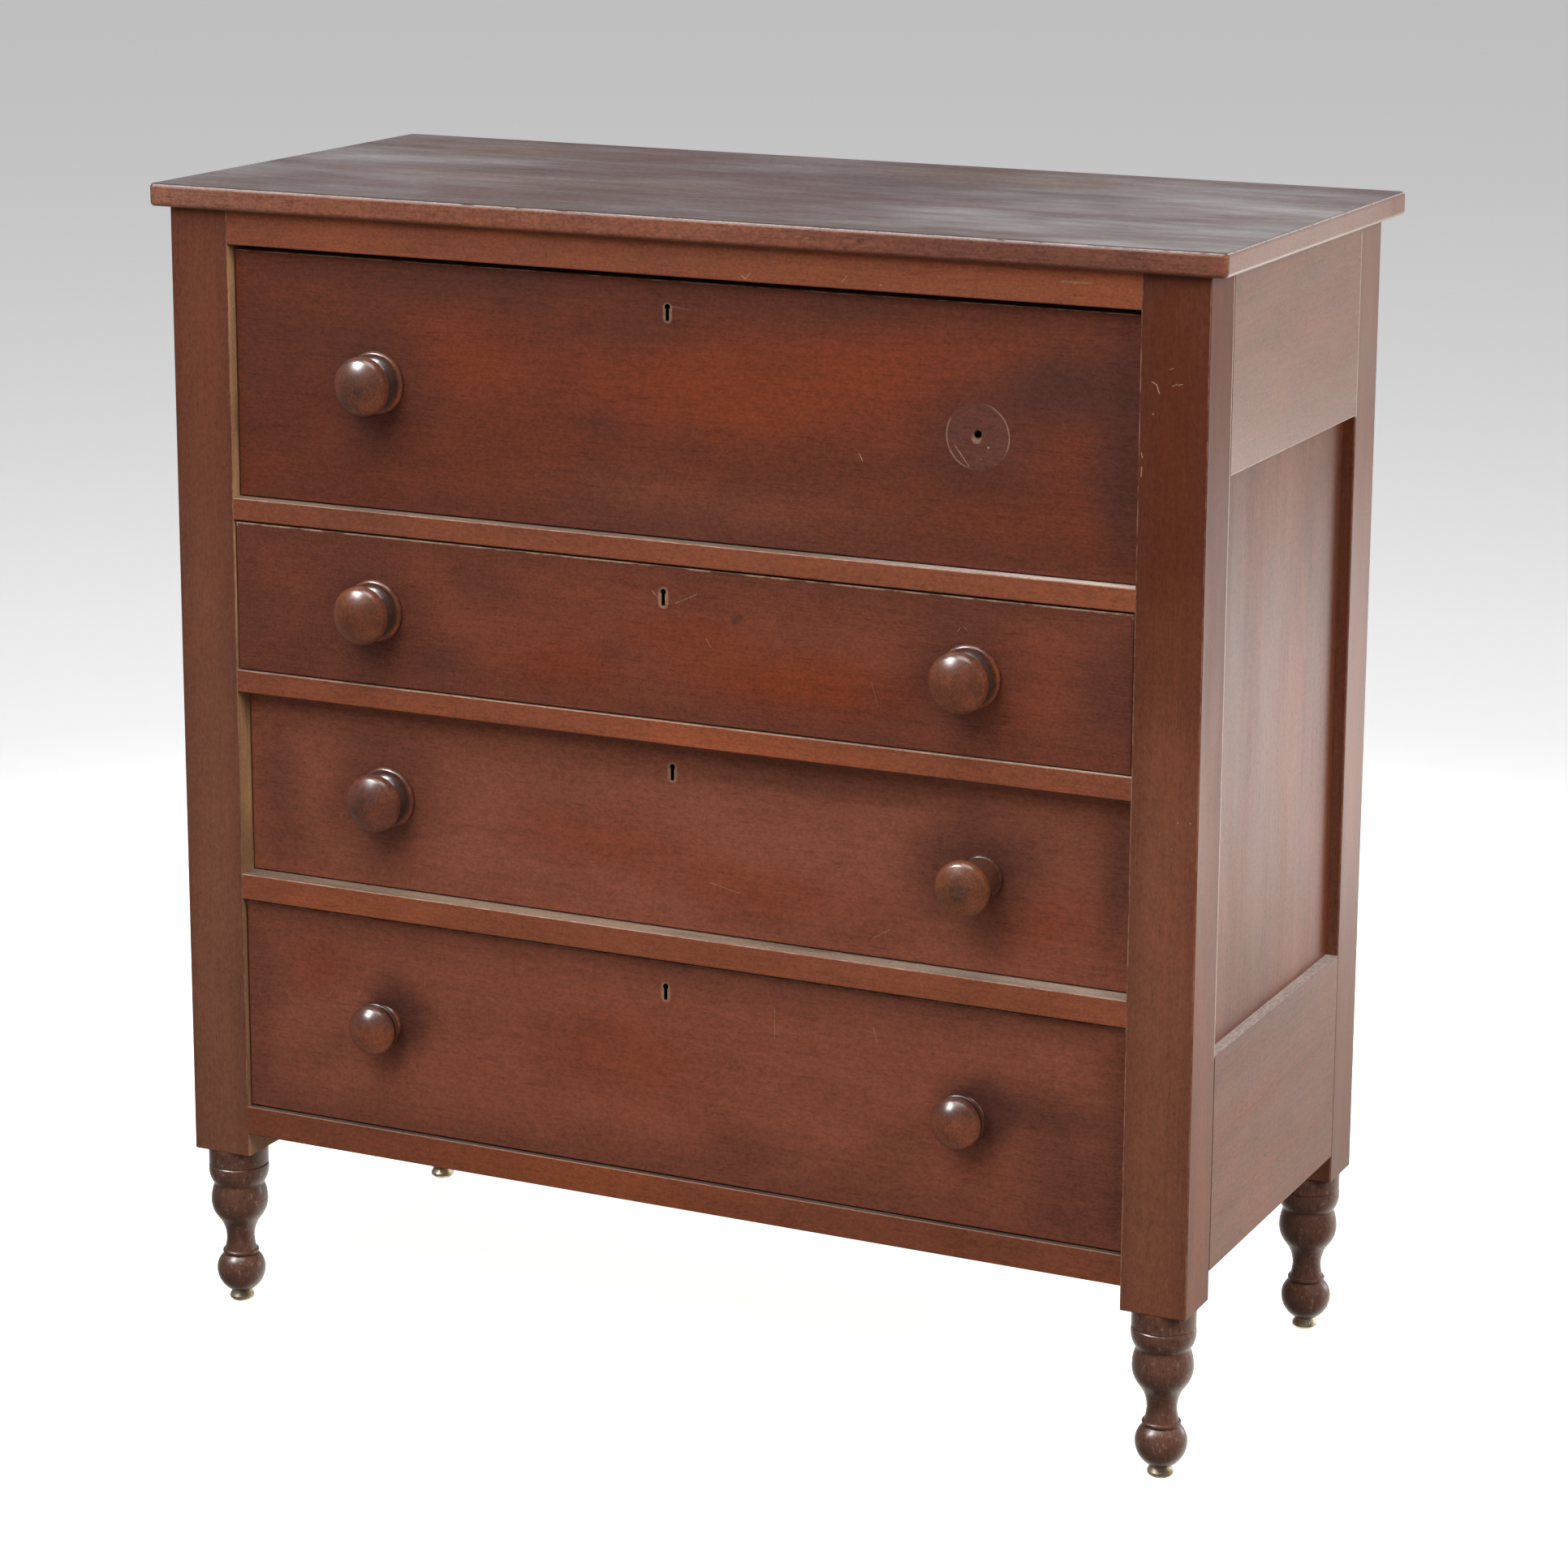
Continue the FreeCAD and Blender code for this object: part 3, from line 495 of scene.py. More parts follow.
GREY_KNOB = replace(
    TURNED_TONE, body=(0.112, 0.036, 0.020), warm=(0.150, 0.041, 0.018), deep=(0.060, 0.027, 0.019),
)
RED_KNOB = replace(
    TURNED_TONE, body=(0.125, 0.036, 0.017), warm=(0.165, 0.044, 0.017), deep=(0.075, 0.028, 0.017),
)
DULL_KNOB = replace(
    TURNED_TONE, body=(0.190, 0.056, 0.029), warm=(0.200, 0.060, 0.026), deep=(0.160, 0.050, 0.028),
    coat=(0.30, 0.45),
)
STEMMED_BROWN: Colour = (0.150, 0.046, 0.016)
CROWN_BROWN: Colour = (0.062, 0.022, 0.014)
LEDGE_DUST_AND_SHEEN: Colour = (0.90, 0.79, 0.71)
# Pale colour of the lines along arrises and of the ledges' right ends: wear, with a painted highlight
PALE_ARRIS: Colour = (0.62, 0.52, 0.45)
SECONDARY_TONE = WoodTone(
    body=(0.40, 0.255, 0.13), warm=(0.46, 0.30, 0.15), deep=(0.29, 0.175, 0.09),
    border=(0.22, 0.13, 0.07), worn=(0.50, 0.35, 0.20), bare=BARE_WOOD,
    roughness=0.72, streak=0.08, ior=1.35, coat=(0.0, 0.0), coat_roughness=0.5,
)
IRON_TONE = MetalTone("iron", bright=(0.17, 0.155, 0.14), dull=(0.055, 0.045, 0.04), roughness=0.48)
STEEL_TONE = MetalTone("steel", bright=(0.34, 0.32, 0.30), dull=(0.12, 0.10, 0.085), roughness=0.42)
BRASS_TONE = MetalTone("brass", bright=(0.82, 0.70, 0.52), dull=(0.34, 0.25, 0.17), roughness=0.26)


class WoodSurface(Surface):
    """The material of one wooden piece, laid on in layers."""

    def __init__(
        self,
        node: str,
        tone: WoodTone,
        grain: Axis,
        seed: float,
        mottle: float = 1.0,
        depth: float = 1.0,
        half_width: Optional[float] = None,
    ) -> None:
        """Lays the wood itself: blotches, figure, grain lines, fibre, flecks and pores.

        Args:
            node: Name of the piece.
            tone: Its colours and gloss.
            grain: Direction of the grain.
            seed: Shifts the pattern, so that no two boards are alike.
            mottle: How much smaller the blotches are than on a wide board.
            depth: How strongly the fine texture shows.
            half_width: Where tenons at the ends are hidden, half the width between the posts.
        """
        super().__init__(f"{node}_wood")
        self.node_name = node
        self.tone = tone
        self.seed = seed
        self.box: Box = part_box(node)
        if half_width is not None:
            self.box[0].x, self.box[1].x = -half_width, half_width
        order = [grain.value] + [index for index in range(3) if index != grain.value]
        self.grain_place = [self.place[index] for index in order]
        layers = {pattern: self.grained(pattern) for pattern in {**TEXTURE, **RELIEF}}
        self.flecks = layers[FLECKS]
        self.ragged = self.grained(RAGGED, mottle) - 0.5
        blotch = self.grained(BLOTCHES, mottle)
        self.colour = self.mix(self.ramped(blotch, WARM_BLOTCH), tone.body, tone.warm)
        self.colour = self.mix(self.ramped(blotch, DEEP_BLOTCH), self.colour, tone.deep)
        pores = self.ramped(self.grained(PORES), PORE_CUT)
        fine = reduce(add, (weight * layers[pattern] for pattern, weight in TEXTURE.items()))
        self.texture = 1 + depth * (fine - PORE_DARKNESS * pores - TEXTURE_MEAN)
        gloss = self.grained(GLOSS)
        self.roughness: Term = tone.roughness - tone.streak * (gloss - 0.5)
        least, most = tone.coat
        self.coat: Term = least + (most - least) * self.ramped(gloss, GLOSS_CUT)
        rise = reduce(add, (height * layers[pattern] for pattern, height in RELIEF.items()))
        self.height: Term = rise - PORE_DEPTH * pores
        self.direction: Optional[Value] = None

    def grained(self, pattern: Pattern, finer: float = 1.0) -> Value:
        """Noise drawn out along the board's grain.

        Args:
            pattern: Its waves and its finer layers.
            finer: How much smaller the pattern is than usual.

        Returns:
            The noise, from 0 to 1.
        """
        along, across = pattern.along * finer, pattern.across * finer
        run, over, through = self.grain_place
        place = self.vector(run * along + self.seed, over * across + self.seed, through * across)
        return self.noise(place, pattern.detail, pattern.roughness)

    def edge_distance(self) -> Value:
        """Distance from the nearest arris: the middle one of a point's three depths below the box's sides.

        Returns:
            The distance in metres.
        """
        low, high = self.box
        depths = []
        for index, place in enumerate(self.place):
            middle = (low[index] + high[index]) / 2
            depths.append((high[index] - low[index]) / 2 - abs(place - middle))
        a, b, c = depths
        lesser, greater = self.least(a, b), self.most(a, b)
        return self.most(lesser, self.least(greater, c))

    def ramped(self, term: Value, *ramps: Ramp) -> Term:
        """The sum of smooth steps over a value."""
        return reduce(add, (self.step(ramp.start, ramp.end, term, ramp.height) for ramp in ramps))

    def upward(self) -> Value:
        """1 on surfaces that don't look down, with the upper arrises."""
        return self.ramped(self.normal[2], NOT_UNDER)

    def facing(self, face: Face, flat: bool = False) -> Value:
        """1 on surfaces that face that way and 0 elsewhere; flat leaves out the rounded arrises."""
        axis, sign = face.value
        return self.ramped(self.normal[axis] * sign, FLAT_FACE if flat else WHOLE_FACE)

    def lay(self, share: Term, colour: Union[Value, Colour]) -> None:
        """Lays a colour over part of the piece."""
        self.colour = self.mix(share, self.colour, colour)

    def shade(self, factor: Term) -> None:
        """Darkens or lightens the colour by a factor."""
        self.colour = self.scaled(self.colour, factor)

    def shade_borders(self, reach: float, strength: float) -> None:
        """Darkens the borders, as far in from the arrises as its reach: dark polish, and painted shade where
        the borders sit in recesses.
        """
        share = self.step(reach, 0.0, self.edge_distance() + reach * self.ragged) * strength
        self.lay(share, self.tone.border)

    def patch_share(self, patch: Patch, axis: Axis = Axis.Z) -> Value:
        """Share of a soft, ragged patch.

        Args:
            patch: Its place, reach and strength.
            axis: The second direction along its face, after X.

        Returns:
            The share, from 0 to the patch's strength.
        """
        across = (self.x - patch.x) / patch.wide
        up = (self.place[axis.value] - patch.z) / patch.high
        return self.step(1.0, 0.1, self.radius(across, up) + 0.9 * self.ragged, patch.strength)

    def stain(self, patch: Patch, colour: Colour) -> None:
        """Lays a soft patch of colour on a front."""
        self.lay(self.patch_share(patch), colour)

    def veil_low(self, top: float, strength: float, colour: Colour, where: Term = 1.0) -> None:
        """Lays a paler, greyer colour below a height, on the faces where the mask is 1: a painted veil of
        reflection and light on the lower parts.
        """
        height = self.z + 0.3 * self.ragged
        self.lay(self.step(top, 0.4 * top, height, strength) * where, colour)

    def scratch(
        self, mark: Scratch, axis: Axis = Axis.X, colour: Optional[Colour] = None, where: Term = 1.0
    ) -> None:
        """Draws a scratch on a face that stands upright.

        Args:
            mark: Its ends, width and strength.
            axis: The level direction along the face.
            colour: Its colour, if it isn't that of worn wood.
            where: 1 on the faces that it is on.
        """
        place = self.vector(self.place[axis.value], self.z, 0.0)
        away = self.segment(place, mark.start, mark.end)
        share = self.step(mark.width, 0.3 * mark.width, away, mark.strength) * where
        self.lay(share, colour or self.tone.worn)

    def wear_edges(self, width: float, strength: float, where: Term = 1.0, gaps: float = 0.40) -> None:
        """Rubs the arrises through to paler wood, in broken lines.

        Args:
            width: Widest worn band.
            strength: How much of the worn colour shows.
            where: 1 on the arrises that are worn.
            gaps: How much of their length is left whole.
        """
        broken = self.grained(BROKEN_WEAR)
        share = self.step(width, 0.4 * width, self.edge_distance())
        share *= self.step(gaps, gaps + 0.18, broken)
        self.lay(share * strength * where, self.tone.worn)

    def speckle(self, spacing: float, radius: float, strength: float) -> None:
        """Scatters small pale nicks, one at most in each cell of a random pattern.

        Args:
            spacing: Mean distance between cells.
            radius: Radius of a nick.
            strength: How much of the worn colour shows.
        """
        run, over, through = self.grain_place
        place = self.vector(run * 0.6 / spacing + self.seed, over / spacing, through / spacing)
        cells = self.node("ShaderNodeTexVoronoi", {"feature": "F1"}, {"Vector": place, "Scale": 1.0})
        chosen = self.parts(Value(self, cells.outputs[1]))[0]
        share = self.step(radius / spacing, 0.4 * radius / spacing, Value(self, cells.outputs[0]))
        self.lay(share * self.step(0.60, 0.80, chosen) * strength, self.tone.worn)

    def leave_bare(self, share: Value, dirt: float, colour: Optional[Colour] = None) -> None:
        """Leaves part of the piece without finish.

        Args:
            share: 1 where the wood is bare.
            dirt: How far age has darkened it, from 0 to 1.
            colour: Its clean colour, if it isn't the tone's own.
        """
        patch = self.grained(AGED_PATCHES)
        aged = tuple(channel * (1.0 - 0.75 * dirt) for channel in colour or self.tone.bare)
        dark = tuple(channel * 0.6 for channel in aged)
        self.lay(share, self.mix(self.step(0.35, 0.65, patch), dark, aged))
        self.roughness += share * 0.28
        self.coat *= 1 - share

    def flatten(self, share: Value, face: Face) -> None:
        """Turns the surface direction towards a face on part of the piece.

        Args:
            share: 1 where the surface is flat.
            face: The direction that it faces there.
        """
        axis, sign = face.value
        goal = [0.0, 0.0, 0.0]
        goal[axis] = sign
        parts = [part + share * (aim - part) for part, aim in zip(self.normal, goal)]
        self.direction = self.vector(*parts)

    def finish(self) -> None:
        """Closes the layers into a material and gives it to the piece."""
        self.shade(self.texture)
        constants = {"IOR": self.tone.ior, "Coat Roughness": self.tone.coat_roughness, "Coat IOR": 1.5}
        linked = {
            "Base Color": self.colour,
            "Roughness": self.roughness,
            "Normal": self.bump(self.height, RELIEF_STRENGTH, self.direction),
        }
        if self.tone.coat[1] > 0:
            linked["Coat Weight"] = self.coat
        paint(self.node_name, self.close(constants, linked))


def metal_material(name: str, tone: MetalTone) -> bpy.types.Material:
    """Metal with tarnish in soft patches and a fine pitted skin.

    Args:
        name: Name of the material.
        tone: Its colours and gloss.

    Returns:
        The finished material.
    """
    skin = Surface(name)
    patches = skin.noise(skin.vector(*(part * TARNISH_WAVES for part in skin.place)), 4.0, 0.6)
    pits = skin.noise(skin.vector(*(part * PIT_WAVES for part in skin.place)), 2.0, 0.5)
    tarnish = skin.step(0.38, 0.66, patches)
    linked = {
        "Base Color": skin.mix(tarnish, tone.bright, tone.dull),
        "Roughness": tone.roughness + 0.25 * tarnish,
        "Normal": skin.bump(pits * PIT_DEPTH, 0.4),
    }
    return skin.close({"Metallic": 0.9}, linked)


def paint(node: str, material: bpy.types.Material) -> None:
    """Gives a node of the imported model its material.

    Args:
        node: Name of the node.
        material: Its finish.
    """
    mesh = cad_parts[node].data
    mesh.materials.clear()
    mesh.materials.append(material)
    log.info("dressed %s", node)


# Marks of use, with painted light and shade among them
POST_SCRATCHES = scratch_rows(
    (0.4505, 0.9635, 0.4545, 0.9615), (0.4545, 0.9615, 0.4570, 0.9545, 0.0007, 0.8),
    (0.4680, 0.9610, 0.4720, 0.9630, 0.0005, 0.6), (0.4735, 0.9625, 0.4770, 0.9635, 0.0006, 0.6),
    (0.4660, 0.9750, 0.4690, 0.9760, 0.0005, 0.5), (0.4520, 0.9370, 0.4522, 0.9372, 0.0010, 0.6),
    (0.4425, 0.9040, 0.4435, 0.9000, 0.0007, 0.6), (0.4430, 0.8920, 0.4425, 0.8840, 0.0007, 0.6),
    (0.4820, 0.5940, 0.4822, 0.5942, 0.0009, 0.6), (0.4930, 0.5950, 0.4932, 0.5952, 0.0009, 0.6),
    (0.4770, 0.5710, 0.4772, 0.5712, 0.0008, 0.5),
)
# Painted shade high on the right front post, where less light falls
POST_SHADOW = Patch(0.470, 0.900, 0.30, 0.32, 0.80)
LOW_OPENING = Ramp(0.405, 0.395, 0.6)
FRONT_POST_KEPT = (Ramp(0.75, 0.36, 1.1), Ramp(0.36, 0.20, -0.7))
BACK_POST_KEPT = (Ramp(0.84, 0.96, 1.8),)
PANEL_KEPT = (Ramp(0.66, 0.88, -0.58), Ramp(0.60, 0.40, 0.25))
TOP_RAIL_SCRATCHES = scratch_rows(
    (0.0770, 1.0265, 0.0800, 1.0240), (0.0800, 1.0240, 0.0850, 1.0300, 0.0005, 0.6),
    (0.1710, 1.0270, 0.1750, 1.0330, 0.0005, 0.6), (0.2060, 1.0270, 0.2065, 1.0273, 0.0010, 0.6),
    (0.3700, 1.0410, 0.3960, 1.0410, 0.0014, 0.30),
)
PANEL_TICKS = scratch_rows(
    (-0.110, 0.662, -0.095, 0.664, 0.0007, 0.8), (-0.091, 0.667, -0.072, 0.671, 0.0006, 0.6),
    (-0.087, 0.641, -0.073, 0.644, 0.0006, 0.6), (-0.052, 0.602, -0.047, 0.607, 0.0008, 0.8),
    (-0.029, 0.447, -0.028, 0.451, 0.0009, 0.8), (-0.025, 0.867, -0.024, 0.868, 0.0009, 0.6),
)
TOP_POLISH = patch_rows(
    (-0.45, -0.05, 0.34, 0.45, 0.65), (0.44, -0.05, 0.42, 0.50, 1.15), (0.10, -0.24, 0.45, 0.14, 0.30),
)
TOP_WEAR_AND_GLINT = Ramp(1.060, 1.066)
EDGE_FADED = Patch(-0.50, 1.0635, 0.14, 0.08, 0.45)
EDGE_DARK = Patch(0.34, 1.0635, 0.30, 0.08, 0.75)
LOST_KNOB_NICKS = (
    (-0.0205, -0.0095, -0.0080, -0.0255, 0.0006, 0.6), (0.0095, -0.0085, 0.0097, -0.0087, 0.0011, 0.9),
    (0.0030, -0.0190, 0.0032, -0.0192, 0.0007, 0.6),
)
RAIL_CRACK = scratch_rows(
    (-0.125, 0.301, -0.021, 0.3002, 0.0005, 0.8), (-0.010, 0.3005, 0.158, 0.307, 0.0004, 0.4),
)


# Sub-assemblies
@dataclass
class Carcase:
    """Top, posts, rails, panels and back of the chest.

    Attributes:
        foot_top: Height where the turned foot meets the square post.
        opening_half: Half the width between the front posts.
        panel_low: Height where the end panels begin to show.
        panel_high: Height where they end.
        arris: How far in from a corner the middle of its arris lies.
        end_varnish: How much more varnish the two ends have kept than the front.
        back_share: Share of it that the back posts have kept.
        rail_shares: Shares of it that the upper and the lower side rails have kept.
        left_arris_line: How strong the pale line along the left end's arrises is beside the right end's, as
            wear and a painted highlight.
        rail_bare: Colour of the front rails' bare faces.
    """

    foot_top: float = 0.156
    opening_half: float = 0.440
    panel_low: float = 0.3765
    panel_high: float = 0.8800
    arris: float = 0.0008
    end_varnish: float = 0.20
    back_share: float = 1.5
    rail_shares: Point = (4.0, 1.5)
    left_arris_line: float = 0.25
    rail_bare: Colour = (0.32, 0.22, 0.155)

    def dress(self) -> None:
        """Gives every piece of the carcase its finish."""
        self.dress_top()
        self.dress_post(Face.FRONT, Side.LEFT, 3.1)
        self.dress_post(Face.FRONT, Side.RIGHT, 10.8, POST_SCRATCHES)
        self.dress_post(Face.BACK, Side.LEFT, 6.4)
        self.dress_post(Face.BACK, Side.RIGHT, 14.1)
        self.dress_end(Side.LEFT, 11.3)
        self.dress_end(Side.RIGHT, 17.2, RAIL_CRACK, PANEL_TICKS)
        self.dress_rail("front_top_rail", 21.7, 0.5, TOP_RAIL_SCRATCHES)
        for number in (1, 2, 3):
            self.dress_rail(f"drawer_divider_{number}", 21.7 + 3.3 * number, 0.25, (), 1.1 - 0.3 * number)
        self.dress_rail("front_bottom_rail", 34.9, 0.95)
        self.dress_inside()

    def dress_top(self) -> None:
        """Dark, dulled top, glossier towards its ends, with redder edges and pale upper arrises: wear, with a
        painted highlight along them.
        """
        wood = WoodSurface("top_board", TOP_TONE, Axis.X, 1.7)
        wood.shade_borders(reach=0.05, strength=0.3)
        for patch in TOP_POLISH:
            wood.coat += wood.patch_share(patch, Axis.Y)
        haze = wood.grained(TOP_HAZE) - 0.5
        cloud = wood.grained(TOP_CLOUDS) - 0.5
        upper = wood.facing(Face.TOP, True)
        wood.coat += upper * (0.7 * haze + cloud + 0.8 * (wood.flecks - 0.5) + 0.06)
        wood.coat = wood.most(wood.coat * (1 + upper * (1.1 * haze + 2.6 * cloud)), 0.02)
        wood.coat *= 1 - 0.7 * wood.facing(Face.FRONT)
        edges = 1 - wood.most(wood.facing(Face.TOP), wood.facing(Face.UNDER, True))
        wood.lay(edges * 0.85, EDGE_RED)
        wood.lay(wood.patch_share(EDGE_FADED) * edges, EDGE_PALE)
        wood.lay(wood.patch_share(EDGE_DARK) * edges, EDGE_BROWN)
        wood.coat += 0.25 * (wood.facing(Face.RIGHT) + wood.facing(Face.LEFT))
        wood.speckle(spacing=0.05, radius=0.0012, strength=0.7)
        # Pale broken line along the upper arrises: wear and a painted highlight
        wear_and_glint = wood.upward() * wood.ramped(wood.z, TOP_WEAR_AND_GLINT)
        wood.wear_edges(width=0.0020, strength=0.85, where=wear_and_glint, gaps=0.32)
        wood.leave_bare(wood.facing(Face.UNDER, True), dirt=0.5)
        wood.finish()

    def dress_post(self, place: Face, side: Side, seed: float, marks: Sequence[Scratch] = ()) -> None:
        """Upright grain, bare towards the drawers, and a browner, rougher foot.

        Args:
            place: Whether it is a front or a back post.
            side: The end that it stands at.
            seed: Shifts its pattern.
            marks: Scratches on its front.
        """
        node = f"post_{place.name}_{side.name}".lower()
        wood = WoodSurface(node, CASE_TONE, Axis.Z, seed, depth=0.6)
        low, high = wood.box
        foot = wood.step(self.foot_top, self.foot_top - 0.004, wood.z)
        outside = wood.facing(side.outer) * (1 - foot)
        # Where the pale arris line goes: wear and a painted highlight
        worn = outside if side is Side.RIGHT else outside * self.left_arris_line
        # Painted veil of reflection and light on the post, paler and greyer towards the bottom
        wood.veil_low(top=1.0, strength=0.6 if marks else 0.9, colour=FADE_AND_VEIL_BROWN, where=1 - outside)
        # Painted shade high on the post whose front carries the marks
        if marks:
            wood.stain(POST_SHADOW, POST_SHADE_BROWN)
        wood.shade_borders(reach=0.02, strength=0.3)
        wood.speckle(spacing=0.06, radius=0.0009, strength=0.6)
        for mark in marks:
            wood.scratch(mark)
        wood.wear_edges(width=0.0012, strength=0.4)
        if place is Face.FRONT:
            edge = high.y - self.arris
            arris = Scratch((edge, self.panel_low), (edge, high.z), 0.0032, 0.8)
            kept = wood.ramped(wood.z, *FRONT_POST_KEPT)
        else:
            edge = low.y + self.arris
            arris = Scratch((edge, self.panel_high), (edge, high.z), 0.0028, 0.5)
            kept = self.back_share + wood.ramped(wood.z, *BACK_POST_KEPT)
        wood.scratch(arris, Axis.Y, PALE_ARRIS, worn)
        inside = wood.facing(side.inner, True) * (1 - foot)
        wood.leave_bare(inside, dirt=0.1, colour=POST_BARE)
        wood.lay(inside * wood.ramped(wood.z, LOW_OPENING), FADE_AND_VEIL_BROWN)
        wood.lay(foot * 0.9, FOOT_BROWN)
        crazed = wood.grained(CRAZING)
        wood.lay(wood.step(0.56, 0.72, crazed, 0.4) * foot, wood.tone.worn)
        wood.lay(wood.step(0.44, 0.30, crazed, 0.6) * foot, TURNED_TONE.border)
        wood.height += 0.00035 * crazed * foot
        wood.roughness -= 0.20 * foot
        wood.coat += 0.6 * foot + kept * self.end_varnish * outside
        wood.finish()

    def dress_end(
        self, side: Side, seed: float, crack: Sequence[Scratch] = (), ticks: Sequence[Scratch] = ()
    ) -> None:
        """Side rails with their grain running to the back, and a panel with upright grain.

        Args:
            side: The end.
            seed: Shifts the patterns.
            crack: Dark lines on the lower rail.
            ticks: Dark nicks on the panel.
        """
        word = side.name.lower()
        for offset, part in enumerate(("side_top_rail", "side_bottom_rail")):
            wood = WoodSurface(f"{part}_{word}", CASE_TONE, Axis.Y, seed + offset, depth=1.1)
            low, high = wood.box
            wood.speckle(spacing=0.07, radius=0.0008, strength=0.5)
            for mark in crack:
                wood.scratch(mark, Axis.Y, wood.tone.border)
            # Pale line along the upper rail's lower arris: wear and a painted highlight
            rail_arris_line = Scratch((low.y, self.panel_high), (high.y, self.panel_high), 0.0012, 0.7)
            wood.scratch(rail_arris_line, Axis.Y)
            wood.coat += self.rail_shares[offset] * self.end_varnish
            wood.leave_bare(wood.facing(side.inner), dirt=0.4)
            if crack and high.z < self.panel_high:
                # Pale upper face of the lower rail: dust, and a painted sheen where it is seen at a grazing
                # angle
                wood.lay(wood.facing(Face.TOP, True) * 0.95, LEDGE_DUST_AND_SHEEN)
                edge = self.panel_low - self.arris
                arris = Scratch((low.y, edge), (high.y, edge), 0.0016, 0.6)
                wood.scratch(arris, Axis.Y, wood.tone.border)
            wood.finish()
        wood = WoodSurface(f"side_panel_{word}", CASE_TONE, Axis.Z, seed + 2.5)
        # Painted veil of reflection and light low on the panel
        wood.veil_low(top=0.8, strength=0.2, colour=FADE_AND_VEIL_RED)
        wood.shade_borders(reach=0.03, strength=0.3)
        for mark in ticks:
            wood.scratch(mark, Axis.Y, wood.tone.border)
        wood.coat += self.end_varnish * (1 + wood.ramped(wood.z, *PANEL_KEPT))
        wood.leave_bare(wood.facing(side.inner), dirt=0.4)
        wood.finish()

    def dress_rail(
        self, node: str, seed: float, dirt: float, marks: Sequence[Scratch] = (), pale: float = 0.0
    ) -> None:
        """A front rail: finished in front, bare above and below, and worn along its upper arris.

        Args:
            node: Its name.
            seed: Shifts its pattern.
            dirt: How far age has darkened its bare upper face.
            marks: Scratches on its front.
            pale: How far its bare upper face turns paler towards the right, as a painted highlight.
        """
        wood = WoodSurface(node, CASE_TONE, Axis.X, seed, depth=0.75, half_width=self.opening_half)
        wood.shade(1.55 - 0.38 * dirt)
        wood.speckle(spacing=0.05, radius=0.0009, strength=0.6)
        for mark in marks:
            wood.scratch(mark)
        wood.wear_edges(width=0.0016, strength=0.6 * (1.0 - dirt), where=wood.upward())
        bare = wood.most(
            wood.facing(Face.TOP, True), wood.facing(Face.UNDER, True), wood.facing(Face.BACK)
        )
        wood.leave_bare(bare, dirt, self.rail_bare)
        # Painted highlight on the bare upper face, paler towards the right
        if pale:
            right_glint = wood.step(0.10, 0.42, wood.x + 0.2 * wood.ragged, pale)
            wood.lay(right_glint * wood.facing(Face.TOP, True), PALE_ARRIS)
        wood.finish()

    def dress_inside(self) -> None:
        """Back boards, rails, runners, guides, kickers and stops in bare wood, and the glides in brass."""
        grains = {
            "back_boards": Axis.X, "back_rails": Axis.X, "drawer_stops": Axis.X,
            "drawer_runners": Axis.Y, "drawer_guides": Axis.Y, "drawer_kickers": Axis.Y,
        }
        for index, (node, grain) in enumerate(grains.items()):
            wood = WoodSurface(node, SECONDARY_TONE, grain, 31.0 + index * 2.1)
            wood.shade_borders(reach=0.03, strength=0.5)
            wood.finish()
        paint("foot_glides", metal_material("foot_glides_brass", BRASS_TONE))


# Masks on the knobs, by distance out from the front or from a knob's axis: the groove's painted shade, the
# stem and the tip
GROOVE_NEAR = Ramp(0.0040, 0.0070)
GROOVE_FAR = Ramp(0.022, 0.016)
GROOVE_RIM = Ramp(0.0265, 0.0235)
STEM = Ramp(0.046, 0.040, 0.85)
TIP = Ramp(0.045, 0.050)
TIP_MIDDLE = Ramp(0.016, 0.004)


